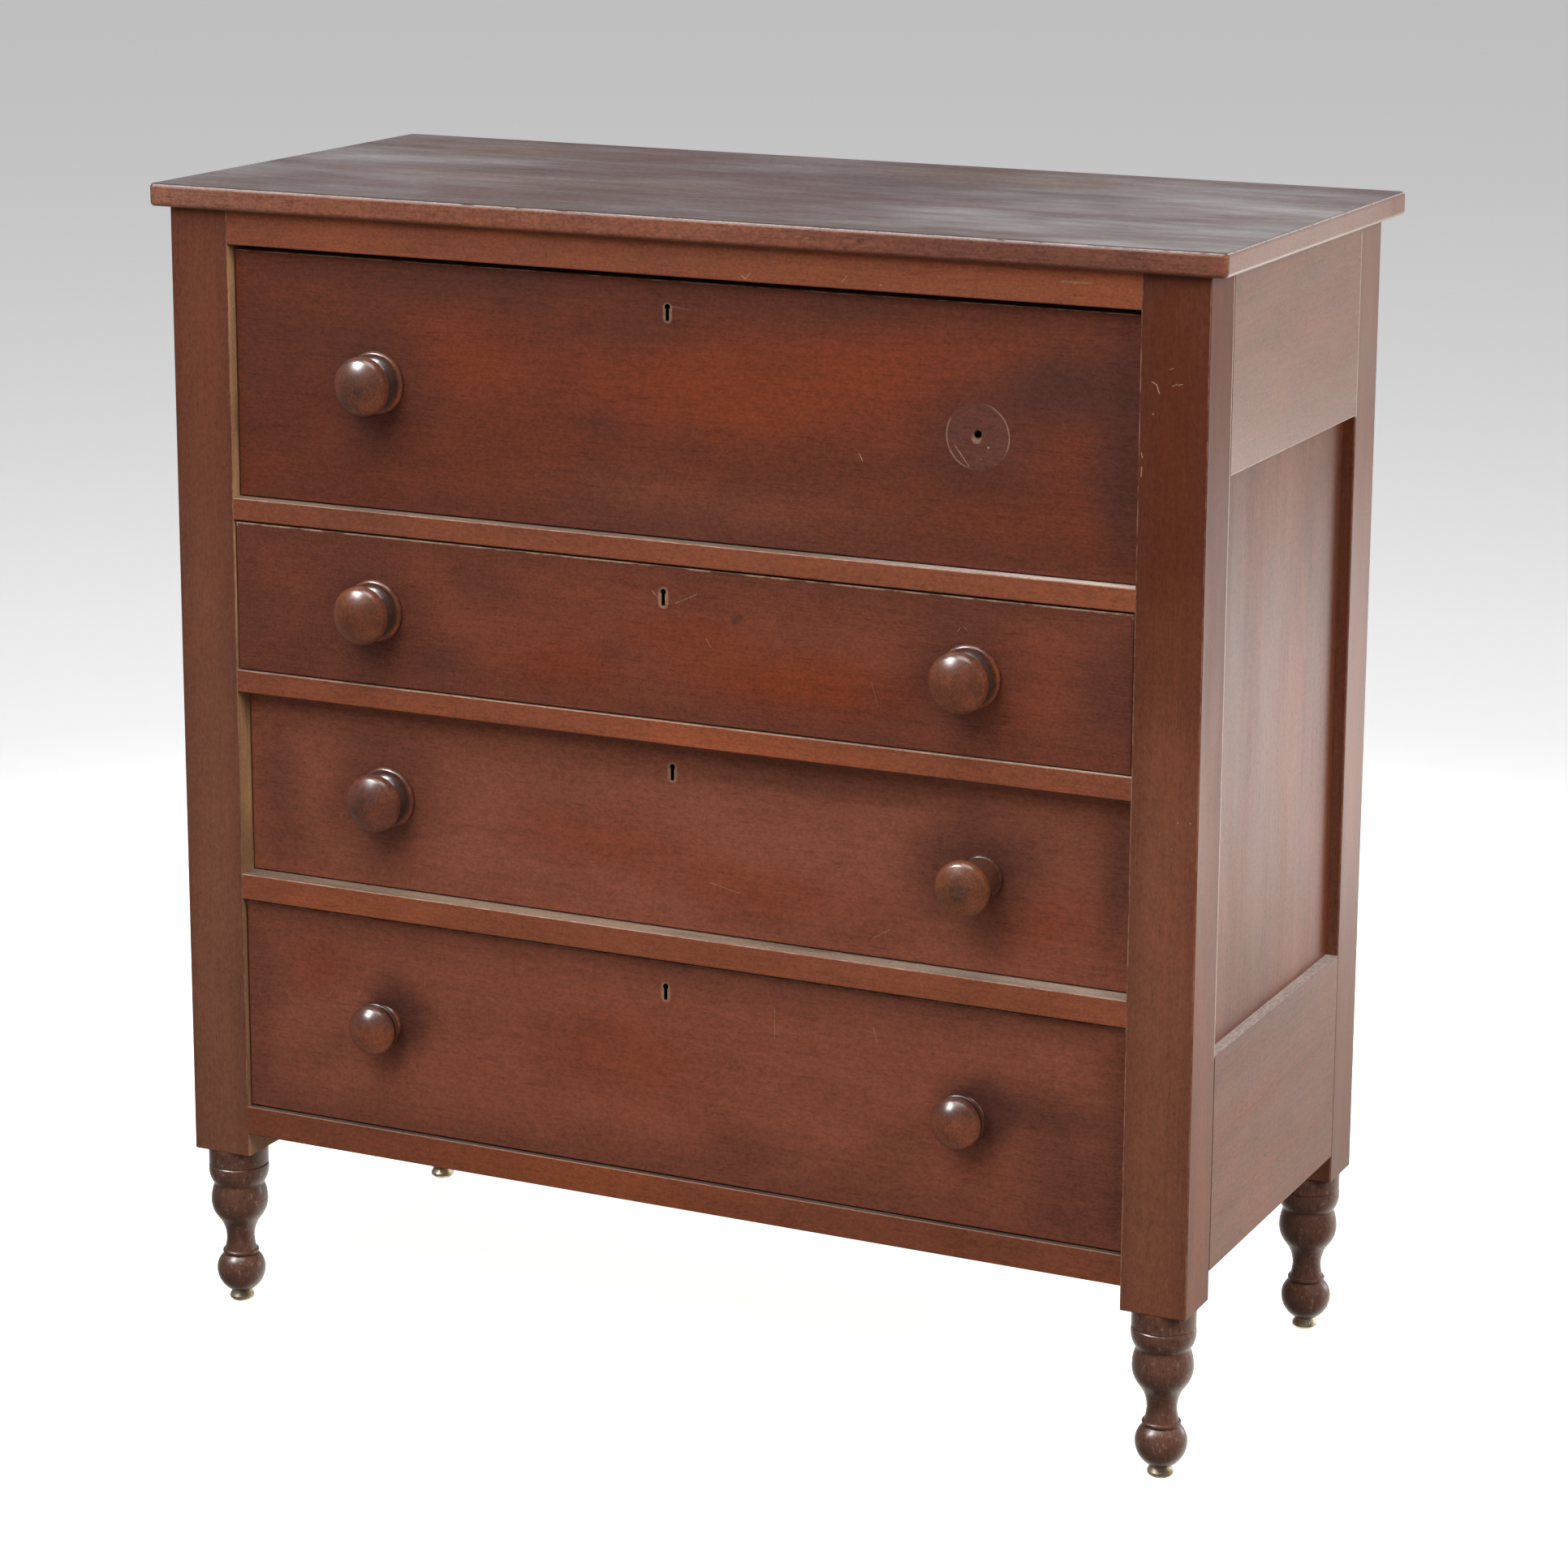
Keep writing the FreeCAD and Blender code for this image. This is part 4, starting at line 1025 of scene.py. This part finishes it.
@dataclass
class Drawer:
    """One drawer with its knobs, screws, lock and bolt.

    Attributes:
        number: Number from the top, from 1.
        warm: Redder patches on its front.
        deep: Darker patches on its front: stains, and along the upper edges painted shade under the rail
            above.
        scratches: Pale scratches on its front.
        spots: Dark spots on its front, as short scratches.
        pale: Paler patches on its front.
        painted_veil: How much of a paler, greyer colour is painted over its front as a painted veil of
            reflection and light; most on the lower drawers.
        border: How dark its borders are, with dark polish and painted shade.
        arris_wear: How far its upper arris is worn.
        lost_knob: Whether the right-hand knob is lost.
        knob_tone: Finish of its knobs.
        stemmed: Whether the right-hand knob has a stem in place of a flange.
        dark_crown: How dark the upper half of its knobs is.
        knob_spread: Distance of the knobs from the middle.
        right_shift: How much further out the right-hand knob stands.
        head: Radius of a knob's head, to its shoulder.
        low_painted_light: How much lighter the lower half of the heads is, as painted light.
        left_painted_light: How much lighter the left half is, as painted light.
        right_painted_shade: How much darker the right half is, as painted shade.
        flange: Radius of a knob's flange.
        tip_flat: Radius of the small flat at a knob's tip.
        keyhole: Depths of the keyhole's two ends below the front's upper edge.
        halo: Radius of the dark ring round a knob: dark polish and a painted shadow of the knob.
        halo_shift: How far its middle lies to the right of the knob and above it, as a painted cast shadow.
        halo_strength: How dark it is.
    """

    number: int
    warm: Sequence[Patch] = ()
    deep: Sequence[Patch] = ()
    scratches: Sequence[Scratch] = ()
    spots: Sequence[Scratch] = ()
    pale: Sequence[Patch] = ()
    painted_veil: float = 0.0
    border: float = 0.40
    arris_wear: float = 0.6
    lost_knob: bool = False
    knob_tone: WoodTone = TURNED_TONE
    stemmed: bool = False
    dark_crown: float = 0.0
    knob_spread: float = 0.292
    right_shift: float = 0.0
    head: float = 0.022
    low_painted_light: float = 0.75
    left_painted_light: float = 0.45
    right_painted_shade: float = 0.15
    flange: float = 0.0285
    tip_flat: float = 0.0030
    keyhole: Point = (0.033, 0.024)
    halo: float = 0.085
    halo_shift: Point = (0.0, 0.0)
    halo_strength: float = 0.60

    def node(self, part: str) -> str:
        """Name of one of the drawer's nodes."""
        return f"drawer_{self.number}_{part}"

    def dress(self) -> None:
        """Gives every piece of the drawer its finish."""
        self.dress_front()
        self.dress_box()
        self.dress_knobs()
        paint(self.node("knob_screws"), metal_material(f"{self.node('knob_screws')}_steel", STEEL_TONE))
        iron = metal_material(f"{self.node('lock')}_iron", IRON_TONE)
        paint(self.node("lock"), iron)
        paint(self.node("lock_bolt"), iron)

    def knob_distance(self, wood: WoodSurface, height: float, shift: Point = (0.0, 0.0)) -> Value:
        """Distance of a point from the nearer knob's axis.

        Args:
            wood: The surface that it is on.
            height: Height of the knobs.
            shift: How far the axes are moved to the right and up.

        Returns:
            The distance in metres.
        """
        half = self.knob_spread + self.right_shift / 2
        across = abs(wood.x - self.right_shift / 2 - shift[0]) - half
        return wood.radius(across, wood.z - height - shift[1])

    def dress_knobs(self) -> None:
        """Glossy knobs with painted shade between head and flange, painted light on the lower and left halves
        of the heads and painted shade on their right halves.
        """
        wood = WoodSurface(self.node("knobs"), self.knob_tone, Axis.Y, 61.0 + self.number, mottle=6.0)
        low, high = wood.box
        height = (low.z + high.z) / 2
        away = self.knob_distance(wood, height)
        out = high.y - wood.y
        up = wood.z - height
        right = wood.step(-0.1, 0.1, wood.x)
        aside = wood.x + self.knob_spread - right * (2 * self.knob_spread + self.right_shift)
        groove_shade = wood.ramped(out, GROOVE_NEAR) * wood.ramped(out, GROOVE_FAR) * wood.ramped(away, GROOVE_RIM)
        if self.stemmed:
            groove_shade *= 1 - right
            wood.lay(right * 0.7, STEMMED_BROWN)
            wood.lay(right * wood.ramped(out, STEM), CROWN_BROWN)
            middle = wood.ramped(away + 0.02 * wood.ragged, TIP_MIDDLE) * wood.ramped(out, TIP)
            wood.lay(middle * 0.6, GREY_KNOB.deep)
        if self.dark_crown:
            crown = wood.step(-0.002, 0.016, up + 0.01 * wood.ragged, self.dark_crown)
            wood.lay(crown, CROWN_BROWN)
            wood.coat += 0.5 * crown
        # Painted light on the lower and left halves of the heads, painted shade on their right halves
        low_painted_light = wood.step(0.002, -self.head, up, self.low_painted_light)
        left_painted_light = wood.step(0.002, -self.head, aside, self.left_painted_light)
        right_shade = wood.step(0.006, self.head, aside, self.right_painted_shade)
        wood.shade(1 + wood.most(low_painted_light, left_painted_light) - right_shade)
        # Painted shade in the groove between head and flange, with dark polish
        wood.lay(groove_shade * 0.75, wood.tone.border)
        wood.flatten(wood.step(self.tip_flat, 0.6 * self.tip_flat, away), Face.FRONT)
        wood.finish()

    def dress_front(self) -> None:
        """Mottled front, darker along its borders and round its knobs with dark polish and painted shade."""
        wood = WoodSurface(self.node("front"), FRONT_TONE, Axis.X, 41.0 + 3.7 * self.number, depth=0.75)
        low, high = wood.box
        middle = (low.z + high.z) / 2
        # Painted veil of reflection and light, paler and greyer, strongest on the lower drawers
        if self.painted_veil:
            wood.lay(self.painted_veil, FADE_AND_VEIL_RED)
        stains = (self.pale, FADE_AND_VEIL_RED), (self.warm, wood.tone.warm), (self.deep, wood.tone.border)
        for places, colour in stains:
            for patch in places:
                wood.stain(patch, colour)
        # Dark polish and painted shade along the front's borders, in the recess under the rails
        wood.shade_borders(reach=0.045, strength=self.border)
        self.shade_knobs(wood, middle)
        if self.lost_knob:
            self.mark_lost_knob(wood, middle)
        self.mark_keyhole(wood, high.z)
        for mark in self.scratches:
            wood.scratch(mark)
        for mark in self.spots:
            wood.scratch(mark, Axis.X, wood.tone.border)
        wood.speckle(spacing=0.055, radius=0.0008, strength=0.6)
        upper = wood.step(high.z - 0.006, high.z - 0.002, wood.z)
        wood.wear_edges(width=0.0022 * self.arris_wear, strength=self.arris_wear, where=upper)
        away_from_front = 1 - wood.facing(Face.FRONT)
        wood.leave_bare(away_from_front, dirt=0.45)
        # Painted shade, near black, on the walls of the keyhole and the knob holes
        holes = wood.most(
            wood.step(0.0075, 0.0065, self.key_distance(wood, high.z)),
            wood.step(0.0050, 0.0045, self.knob_distance(wood, middle)),
        )
        wood.lay(holes * away_from_front, KEYHOLE_SHADE)
        wood.finish()

    def key_distance(self, wood: WoodSurface, top: float) -> Value:
        """Distance of a point on the front from the keyhole's middle line, in metres."""
        place = wood.vector(wood.x, wood.z, 0.0)
        return wood.segment(place, *((0.0, top - depth) for depth in self.keyhole))

    def shade_knobs(self, wood: WoodSurface, height: float) -> None:
        """Dark halo round each knob place: dark polish and a painted shadow of the knob."""
        away = self.knob_distance(wood, height, self.halo_shift) + 0.05 * wood.ragged
        wood.lay(wood.step(self.halo, 0.02, away) * self.halo_strength, wood.tone.border)

    def mark_lost_knob(self, wood: WoodSurface, height: float) -> None:
        """Paler round where a knob's flange kept the light off, with a fine pale rim on two sides as a painted
        highlight, and a rubbed hole.

        Args:
            wood: The front's surface.
            height: Height of the knobs.
        """
        across, up = wood.x - self.knob_spread, wood.z - height
        away = wood.radius(across, up)
        wood.lay(wood.step(self.flange + 0.0006, self.flange - 0.0006, away) * 0.7, GHOST_MAUVE)
        # Painted highlight on the ghost's rim, on two opposite sides only
        slant = abs(across + 0.4 * up) / self.flange
        rim = wood.step(0.0010, 0.0002, abs(away - self.flange)) * wood.step(0.45, 1.0, slant)
        wood.lay(rim * 0.45, wood.tone.worn)
        low_left = wood.radius(across + 0.0012, up + 0.0015)
        wood.lay(wood.step(0.0052, 0.0040, low_left) * 0.4, wood.tone.worn)
        x, z = self.knob_spread, height
        for from_x, from_z, to_x, to_z, *size in LOST_KNOB_NICKS:
            wood.scratch(Scratch((x + from_x, z + from_z), (x + to_x, z + to_z), *size))

    def mark_keyhole(self, wood: WoodSurface, top: float) -> None:
        """Pale rim where the key has rubbed the keyhole."""
        away = self.key_distance(wood, top) + 0.003 * wood.ragged
        wood.lay(wood.step(0.0056, 0.0034, away, 0.5), wood.tone.worn)

    def dress_box(self) -> None:
        """Sides, back and bottom in bare wood."""
        grains = {"side_left": Axis.Y, "side_right": Axis.Y, "back": Axis.X, "bottom": Axis.X}
        for index, (part, grain) in enumerate(grains.items()):
            wood = WoodSurface(self.node(part), SECONDARY_TONE, grain, 51.0 + index + self.number)
            wood.shade_borders(reach=0.02, strength=0.4)
            wood.finish()


DRAWERS = (
    Drawer(
        1,
        lost_knob=True,
        knob_tone=GREY_KNOB,
        pale=patch_rows((0.03, 0.815, 0.34, 0.05, 0.30)),
        warm=patch_rows(
            (-0.20, 0.935, 0.11, 0.06, 0.6), (0.04, 0.930, 0.17, 0.06, 0.8),
            (0.23, 0.955, 0.14, 0.05, 0.7),
        ),
        # The patches along the upper edge are painted shade under the top rail; the others are stains
        deep=patch_rows(
            (-0.39, 0.905, 0.07, 0.12, 0.35), (-0.22, 1.000, 0.22, 0.035, 0.4),
            (-0.02, 0.985, 0.10, 0.045, 0.4), (-0.065, 0.886, 0.03, 0.025, 0.25),
            (0.375, 0.945, 0.09, 0.05, 0.9), (0.42, 0.90, 0.04, 0.15, 0.6),
        ),
        scratches=scratch_rows(
            (0.183, 0.880, 0.186, 0.874), (0.005, 0.994, 0.020, 0.992, 0.0004, 0.25),
        ),
    ),
    Drawer(
        2,
        painted_veil=0.28,
        arris_wear=0.95,
        knob_tone=RED_KNOB,
        warm=patch_rows(
            (-0.10, 0.665, 0.09, 0.04, 0.7), (0.13, 0.672, 0.16, 0.045, 0.95),
            (0.34, 0.690, 0.06, 0.04, 0.3), (0.02, 0.705, 0.12, 0.03, 0.5),
        ),
        deep=patch_rows(
            (-0.23, 0.656, 0.06, 0.035, 0.7), (-0.047, 0.685, 0.025, 0.02, 0.3),
            (0.415, 0.695, 0.06, 0.08, 0.6), (-0.41, 0.698, 0.05, 0.06, 0.2),
            (-0.19, 0.730, 0.06, 0.03, 0.4),
        ),
        scratches=scratch_rows(
            (0.012, 0.735, 0.033, 0.745, 0.0005, 0.5), (-0.011, 0.744, -0.006, 0.739, 0.0005, 0.6),
            (0.042, 0.706, 0.047, 0.699, 0.0005, 0.6), (0.200, 0.685, 0.207, 0.663, 0.0004, 0.3),
            (0.280, 0.737, 0.282, 0.740, 0.0006, 0.6), (0.286, 0.741, 0.289, 0.738, 0.0005, 0.5),
        ),
        spots=scratch_rows((0.069, 0.725, 0.074, 0.728, 0.005, 0.7)),
    ),
    Drawer(
        3,
        painted_veil=0.78,
        border=0.12,
        stemmed=True,
        right_shift=0.007,
        warm=patch_rows(
            (-0.06, 0.505, 0.16, 0.05, 0.5), (0.36, 0.490, 0.07, 0.06, 0.5),
            (0.09, 0.480, 0.14, 0.04, 0.5),
        ),
        # The long patch along the upper edge is painted shade under the divider; the others are stains
        deep=patch_rows(
            (0.31, 0.532, 0.12, 0.055, 0.5), (-0.41, 0.507, 0.04, 0.09, 0.5),
            (0.425, 0.529, 0.03, 0.09, 0.6), (0.15, 0.585, 0.25, 0.025, 0.4),
        ),
        scratches=scratch_rows(
            (0.037, 0.481, 0.066, 0.475, 0.0004, 0.6), (0.197, 0.452, 0.212, 0.461, 0.0004, 0.5),
        ),
    ),
    Drawer(
        4,
        painted_veil=0.66,
        knob_tone=DULL_KNOB,
        dark_crown=0.8,
        # The halo lies to the right of the knobs as a painted cast shadow
        halo=0.055,
        halo_shift=(0.016, 0.004),
        halo_strength=0.9,
        pale=patch_rows((-0.33, 0.280, 0.13, 0.10, 0.5)),
        warm=patch_rows((-0.36, 0.354, 0.06, 0.05, 0.5), (-0.04, 0.315, 0.14, 0.06, 0.4)),
        deep=patch_rows(
            (0.09, 0.244, 0.10, 0.035, 0.4), (0.36, 0.325, 0.08, 0.05, 0.5),
            (-0.415, 0.334, 0.04, 0.06, 0.2), (0.39, 0.270, 0.09, 0.09, 0.6),
            (-0.07, 0.337, 0.03, 0.015, 0.2),
        ),
        scratches=scratch_rows(
            (0.203, 0.375, 0.208, 0.360, 0.0004, 0.6), (0.108, 0.377, 0.108, 0.351, 0.0004, 0.4),
        ),
    ),
)


# Small fasteners
def turned_shell(rings: np.ndarray, heights: np.ndarray, spokes: int) -> Shell:
    """A closed shell of revolution about Z.

    A point of ring r at angle a is (r cos a, r sin a, height of the ring). One point closes the shell at each
    end of the profile, on the axis.

    Args:
        rings: Radii of the profile between the two ends.
        heights: Heights of the profile, with those of the two ends first and last.
        spokes: Points round the axis.

    Returns:
        The points and the faces.
    """
    angle = np.linspace(0.0, 2.0 * np.pi, spokes, endpoint=False)
    x = np.outer(rings, np.cos(angle))
    y = np.outer(rings, np.sin(angle))
    z = np.repeat(heights[1:-1, None], spokes, axis=1)
    wall = np.stack([x, y, z], axis=-1).reshape(-1, 3)
    points = np.vstack([wall, [[0.0, 0.0, heights[0]], [0.0, 0.0, heights[-1]]]])
    here = np.arange(rings.size * spokes).reshape(rings.size, spokes)
    after = np.roll(here, -1, axis=1)
    quads = np.stack([here[:-1], here[1:], after[1:], after[:-1]], axis=-1).reshape(-1, 4)
    first, last = np.full(spokes, len(wall)), np.full(spokes, len(wall) + 1)
    near_cap = np.stack([first, here[0], after[0]], axis=-1)
    far_cap = np.stack([last, after[-1], here[-1]], axis=-1)
    return points, quads.tolist() + near_cap.tolist() + far_cap.tolist()


def upright_grid(across: Sequence[float], levels: Sequence[float], depth: float) -> np.ndarray:
    """Points of a grid on an upright face: every place across at every level."""
    x, z = np.meshgrid(across, levels)
    return np.stack([x.ravel(), np.full(x.size, depth), z.ravel()], axis=-1)


def drive(name: str, head: Shell, centres: np.ndarray, tone: MetalTone, body: str) -> None:
    """Makes a new piece of the chest from copies of a head that look to the back.

    Turning a head to the back takes X to -X, Z to Y and Y to Z.

    Args:
        name: Name of the piece.
        head: Points and faces of a head that looks up.
        centres: Where the heads sit.
        tone: Their metal.
        body: The body that they ride on.
    """
    points, faces = head
    turned = np.stack([-points[:, 0], points[:, 2], points[:, 1]], axis=-1)
    every = (centres[:, None, :] + turned[None, :, :]).reshape(-1, 3)
    starts = [copy * len(points) for copy in range(len(centres))]
    mesh = bpy.data.meshes.new(name)
    mesh.from_pydata(every.tolist(), [], [[start + i for i in face] for start in starts for face in faces])
    mesh.polygons.foreach_set("use_smooth", np.ones(len(mesh.polygons), dtype=bool))
    mesh.materials.append(metal_material(f"{name}_{tone.name}", tone))
    piece = bpy.data.objects.new(name, mesh)
    bpy.context.scene.collection.objects.link(piece)
    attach(piece, body)
    log.info("made %s", name)


@dataclass
class BackNails:
    """Rose-headed nails that hold the back boards to the posts and the back rails.

    Attributes:
        boards: Number of back boards.
        shares: Heights of a board's two nails, as shares of its width.
        inset: Distance of the nails from the boards' ends.
        rail_nails: Number of nails in each back rail.
        low_rail: Height of the lower rail's nails above the boards' lower edge.
        high_rail: Distance of the upper rail's nails below their upper edge.
        radius: Radius of a head.
        rise: Height of a head.
        sink: How deep its rim sits in the wood.
        spokes: Points round a head.
    """

    boards: int = 4
    shares: Point = (0.22, 0.78)
    inset: float = 0.0065
    rail_nails: int = 5
    low_rail: float = 0.012
    high_rail: float = 0.020
    radius: float = 0.0042
    rise: float = 0.0011
    sink: float = 0.0004
    spokes: int = 12

    def build(self) -> None:
        """Makes the heads: a shallow dome, rise times one minus the square of the share of the radius."""
        low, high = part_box("back_boards")
        pitch = (high.z - low.z) / self.boards
        levels = low.z + pitch * (np.arange(self.boards)[:, None] + np.array(self.shares)).ravel()
        sides = [low.x + self.inset, high.x - self.inset]
        spread = np.linspace(low.x, high.x, self.rail_nails + 2)[1:-1]
        rails = [low.z + self.low_rail, high.z - self.high_rail]
        centres = np.vstack([upright_grid(sides, levels, high.y), upright_grid(spread, rails, high.y)])
        share = np.array([0.3, 0.6, 0.85, 1.0, 1.0])
        dome = self.rise * (1 - share[:-1] ** 2) * 0.85
        heights = np.concatenate([[self.rise], dome, [-self.sink, -self.sink]])
        head = turned_shell(self.radius * share, heights, self.spokes)
        drive("back_nails", head, centres, IRON_TONE, "carcase")


@dataclass
class LockScrews:
    """Four slotted screws at the corners of a lock's plate.

    Attributes:
        number: Number of the drawer.
        across: Distance of the screws from the middle.
        drop: Distances of the two rows below the plate's upper edge.
        radius: Radius of a head.
        rise: Height of a head.
        sink: How deep its rim sits in the plate.
        slot: Half the width of the slot.
        depth: Depth of the slot.
        spokes: Points round a head.
    """

    number: int
    across: float = 0.033
    drop: Point = (0.010, 0.046)
    radius: float = 0.0030
    rise: float = 0.0006
    sink: float = 0.0002
    slot: float = 0.00045
    depth: float = 0.0007
    spokes: int = 36

    def build(self) -> None:
        """Makes the heads: a shallow dome, less a slot whose depth falls off by a bell curve across it."""
        low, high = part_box(f"drawer_{self.number}_lock")
        share = np.array([0.12, 0.24, 0.36, 0.5, 0.65, 0.8, 0.93, 1.0, 1.0])
        dome = self.rise * (1 - 0.7 * share[:-1] ** 2)
        heights = np.concatenate([[self.rise], dome, [-self.sink, -self.sink]])
        points, faces = turned_shell(self.radius * share, heights, self.spokes)
        cut = self.depth * np.exp(-((points[:, 0] / self.slot) ** 4))
        points[:, 2] = np.where(points[:, 2] > 0, np.maximum(points[:, 2] - cut, 0.0001), points[:, 2])
        levels = [high.z - drop for drop in self.drop]
        centres = upright_grid([-self.across, self.across], levels, high.y)
        body = f"drawer_{self.number}"
        drive(f"{body}_lock_screws", (points, faces), centres, STEEL_TONE, body)


# Studio
@dataclass(frozen=True)
class SoftLight:
    """A square soft light that faces the middle of the chest.

    Attributes:
        name: Name of the light.
        place: Where it hangs.
        width: Side of the square.
        power: Power in watts.
        lays: Whether it lights the surfaces themselves.
        gleams: Whether it shows in their gloss.
    """

    name: str
    place: tuple[float, float, float]
    width: float
    power: float
    lays: bool = True
    gleams: bool = True


@dataclass
class Studio:
    """Floor, lights and camera.

    Attributes:
        eye: Place of the camera.
        yaw: Turn of the camera towards the left, in degrees.
        pitch: Tilt of the camera above the horizon, in degrees.
        roll: Turn about its own axis, in degrees.
        lens: Focal length in millimetres on a 36 mm sensor.
        shift: Vertical shift of the frame, as a share of its width.
        floor_side: Side of the square floor.
        sky_front: Brightness of the surroundings in front of the chest.
        sky_rear: Their brightness behind it.
        sky_slope: How much brighter they are behind it on the right than in the middle.
        sky_glow: Brightness that they gain behind it below the horizon.
        sky_tint: Their colour below the horizon.
        floor_glow: The floor's own glow, far away and under the chest; round the chest it is painted light
            that fills in the chest's shadow.
        lights: The soft lights.
    """

    eye: tuple[float, float, float] = (1.694912, -3.496640, 1.544437)
    yaw: float = 25.629
    pitch: float = -12.672
    roll: float = 0.219
    lens: float = 99.64
    shift: float = -0.1
    floor_side: float = 90.0
    sky_front: float = 0.14
    sky_rear: float = 0.66
    sky_slope: float = 0.32
    sky_glow: float = 0.9
    sky_tint: Colour = (1.05, 1.0, 0.90)
    floor_glow: Point = (0.24, 0.82)
    lights: Sequence[SoftLight] = (
        SoftLight("key_light", (-0.35, -2.8, 3.0), 1.6, 50.0, gleams=False),
        SoftLight("bounce_light", (0.1, -3.0, 0.30), 0.6, 10.0, gleams=False),
        SoftLight("gleam_light", (-1.8, -2.2, 3.4), 1.35, 215.0, lays=False),
        SoftLight("fill_light", (3.2, -1.0, 2.2), 1.3, 82.0, gleams=False),
        SoftLight("side_light", (1.15, 1.25, 0.32), 0.5, 3.1),
        SoftLight("overhead_light", (0.2, -1.4, 5.5), 3.0, 165.0),
    )

    def build(self) -> None:
        """Makes the studio round the chest."""
        self.lay_floor()
        self.light_surroundings()
        for light in self.lights:
            self.hang(light)
        self.place_camera()
        bpy.context.scene.view_settings.view_transform = "Standard"
        log.info("set the studio")

    def lay_floor(self) -> None:
        """One pale square, as a grid of two by two points. Its light doesn't bounce back to the chest."""
        half = self.floor_side / 2
        u, v = np.meshgrid([-half, half], [-half, half])
        points = np.column_stack([u.ravel(), v.ravel(), np.zeros(u.size)])
        mesh = bpy.data.meshes.new("floor")
        mesh.from_pydata(points.tolist(), [], [(0, 1, 3, 2)])
        floor = bpy.data.objects.new("floor", mesh)
        bpy.context.scene.collection.objects.link(floor)
        floor.visible_diffuse = False
        floor.visible_glossy = False
        paper = Surface("floor_paper")
        constants = {
            "Base Color": (0.92, 0.92, 0.92, 1.0),
            "Roughness": 0.9,
            "Specular IOR Level": 0.0,
            "Emission Strength": 1.0,
        }
        far, near = ((glow, glow, glow) for glow in self.floor_glow)
        # Painted light: the floor glows brighter round the chest and fills in its shadow
        close_by = paper.step(2.6, 0.9, paper.radius(paper.x, paper.y))
        mesh.materials.append(paper.close(constants, {"Emission Color": paper.mix(close_by, far, near)}))

    def light_surroundings(self) -> None:
        """Grey light from all round, brighter behind the chest than in front."""
        world = bpy.data.worlds.new("studio")
        world.use_nodes = True
        nodes = Nodes(world.node_tree)
        x, y, z = nodes.parts(nodes.out("ShaderNodeTexCoord", "Generated"))
        rear = self.sky_rear + self.sky_slope * x + self.sky_glow * nodes.most(-1.0 * z, 0.0)
        strength = self.sky_front + (rear - self.sky_front) * nodes.step(-0.2, 0.9, y)
        tint = nodes.mix(nodes.step(-0.03, -0.12, z), (1.0, 1.0, 1.0), self.sky_tint)
        background = nodes.out("ShaderNodeBackground", 0, None, {"Color": tint, "Strength": strength})
        nodes.node("ShaderNodeOutputWorld", None, {"Surface": background})
        bpy.context.scene.world = world

    def hang(self, light: SoftLight) -> None:
        """Hangs one soft light, out of the camera's sight.

        Args:
            light: Its place, size and power.
        """
        low, high = cad_box
        lamp = bpy.data.lights.new(light.name, "AREA")
        lamp.shape = "SQUARE"
        lamp.size = light.width
        lamp.energy = light.power
        holder = bpy.data.objects.new(light.name, lamp)
        holder.location = light.place
        holder.rotation_euler = ((low + high) / 2 - Vector(light.place)).to_track_quat("-Z", "Y").to_euler()
        holder.visible_camera = False
        holder.visible_diffuse = light.lays
        holder.visible_glossy = light.gleams
        bpy.context.scene.collection.objects.link(holder)

    def place_camera(self) -> None:
        """Sets the camera from its yaw, pitch and roll."""
        yaw, pitch, roll = (math.radians(angle) for angle in (self.yaw, self.pitch, self.roll))
        ahead = Vector((-math.sin(yaw) * math.cos(pitch), math.cos(yaw) * math.cos(pitch), math.sin(pitch)))
        level = Vector((math.cos(yaw), math.sin(yaw), 0.0))
        up = level.cross(ahead)
        right = math.cos(roll) * level + math.sin(roll) * up
        above = math.cos(roll) * up - math.sin(roll) * level
        lens = bpy.data.cameras.new("camera")
        lens.lens = self.lens
        lens.shift_y = self.shift
        camera = bpy.data.objects.new("camera", lens)
        turn = Matrix((right, above, -ahead)).transposed()
        camera.matrix_world = Matrix.Translation(self.eye) @ turn.to_4x4()
        bpy.context.scene.collection.objects.link(camera)
        bpy.context.scene.camera = camera


def main() -> None:
    """Dresses the chest, piece by piece, and sets it in the studio."""
    logging.basicConfig(level=logging.INFO, format="%(name)s: %(message)s")
    Carcase().dress()
    for drawer in DRAWERS:
        drawer.dress()
        LockScrews(drawer.number).build()
    BackNails().build()
    Studio().build()


if __name__ == "__main__":
    main()
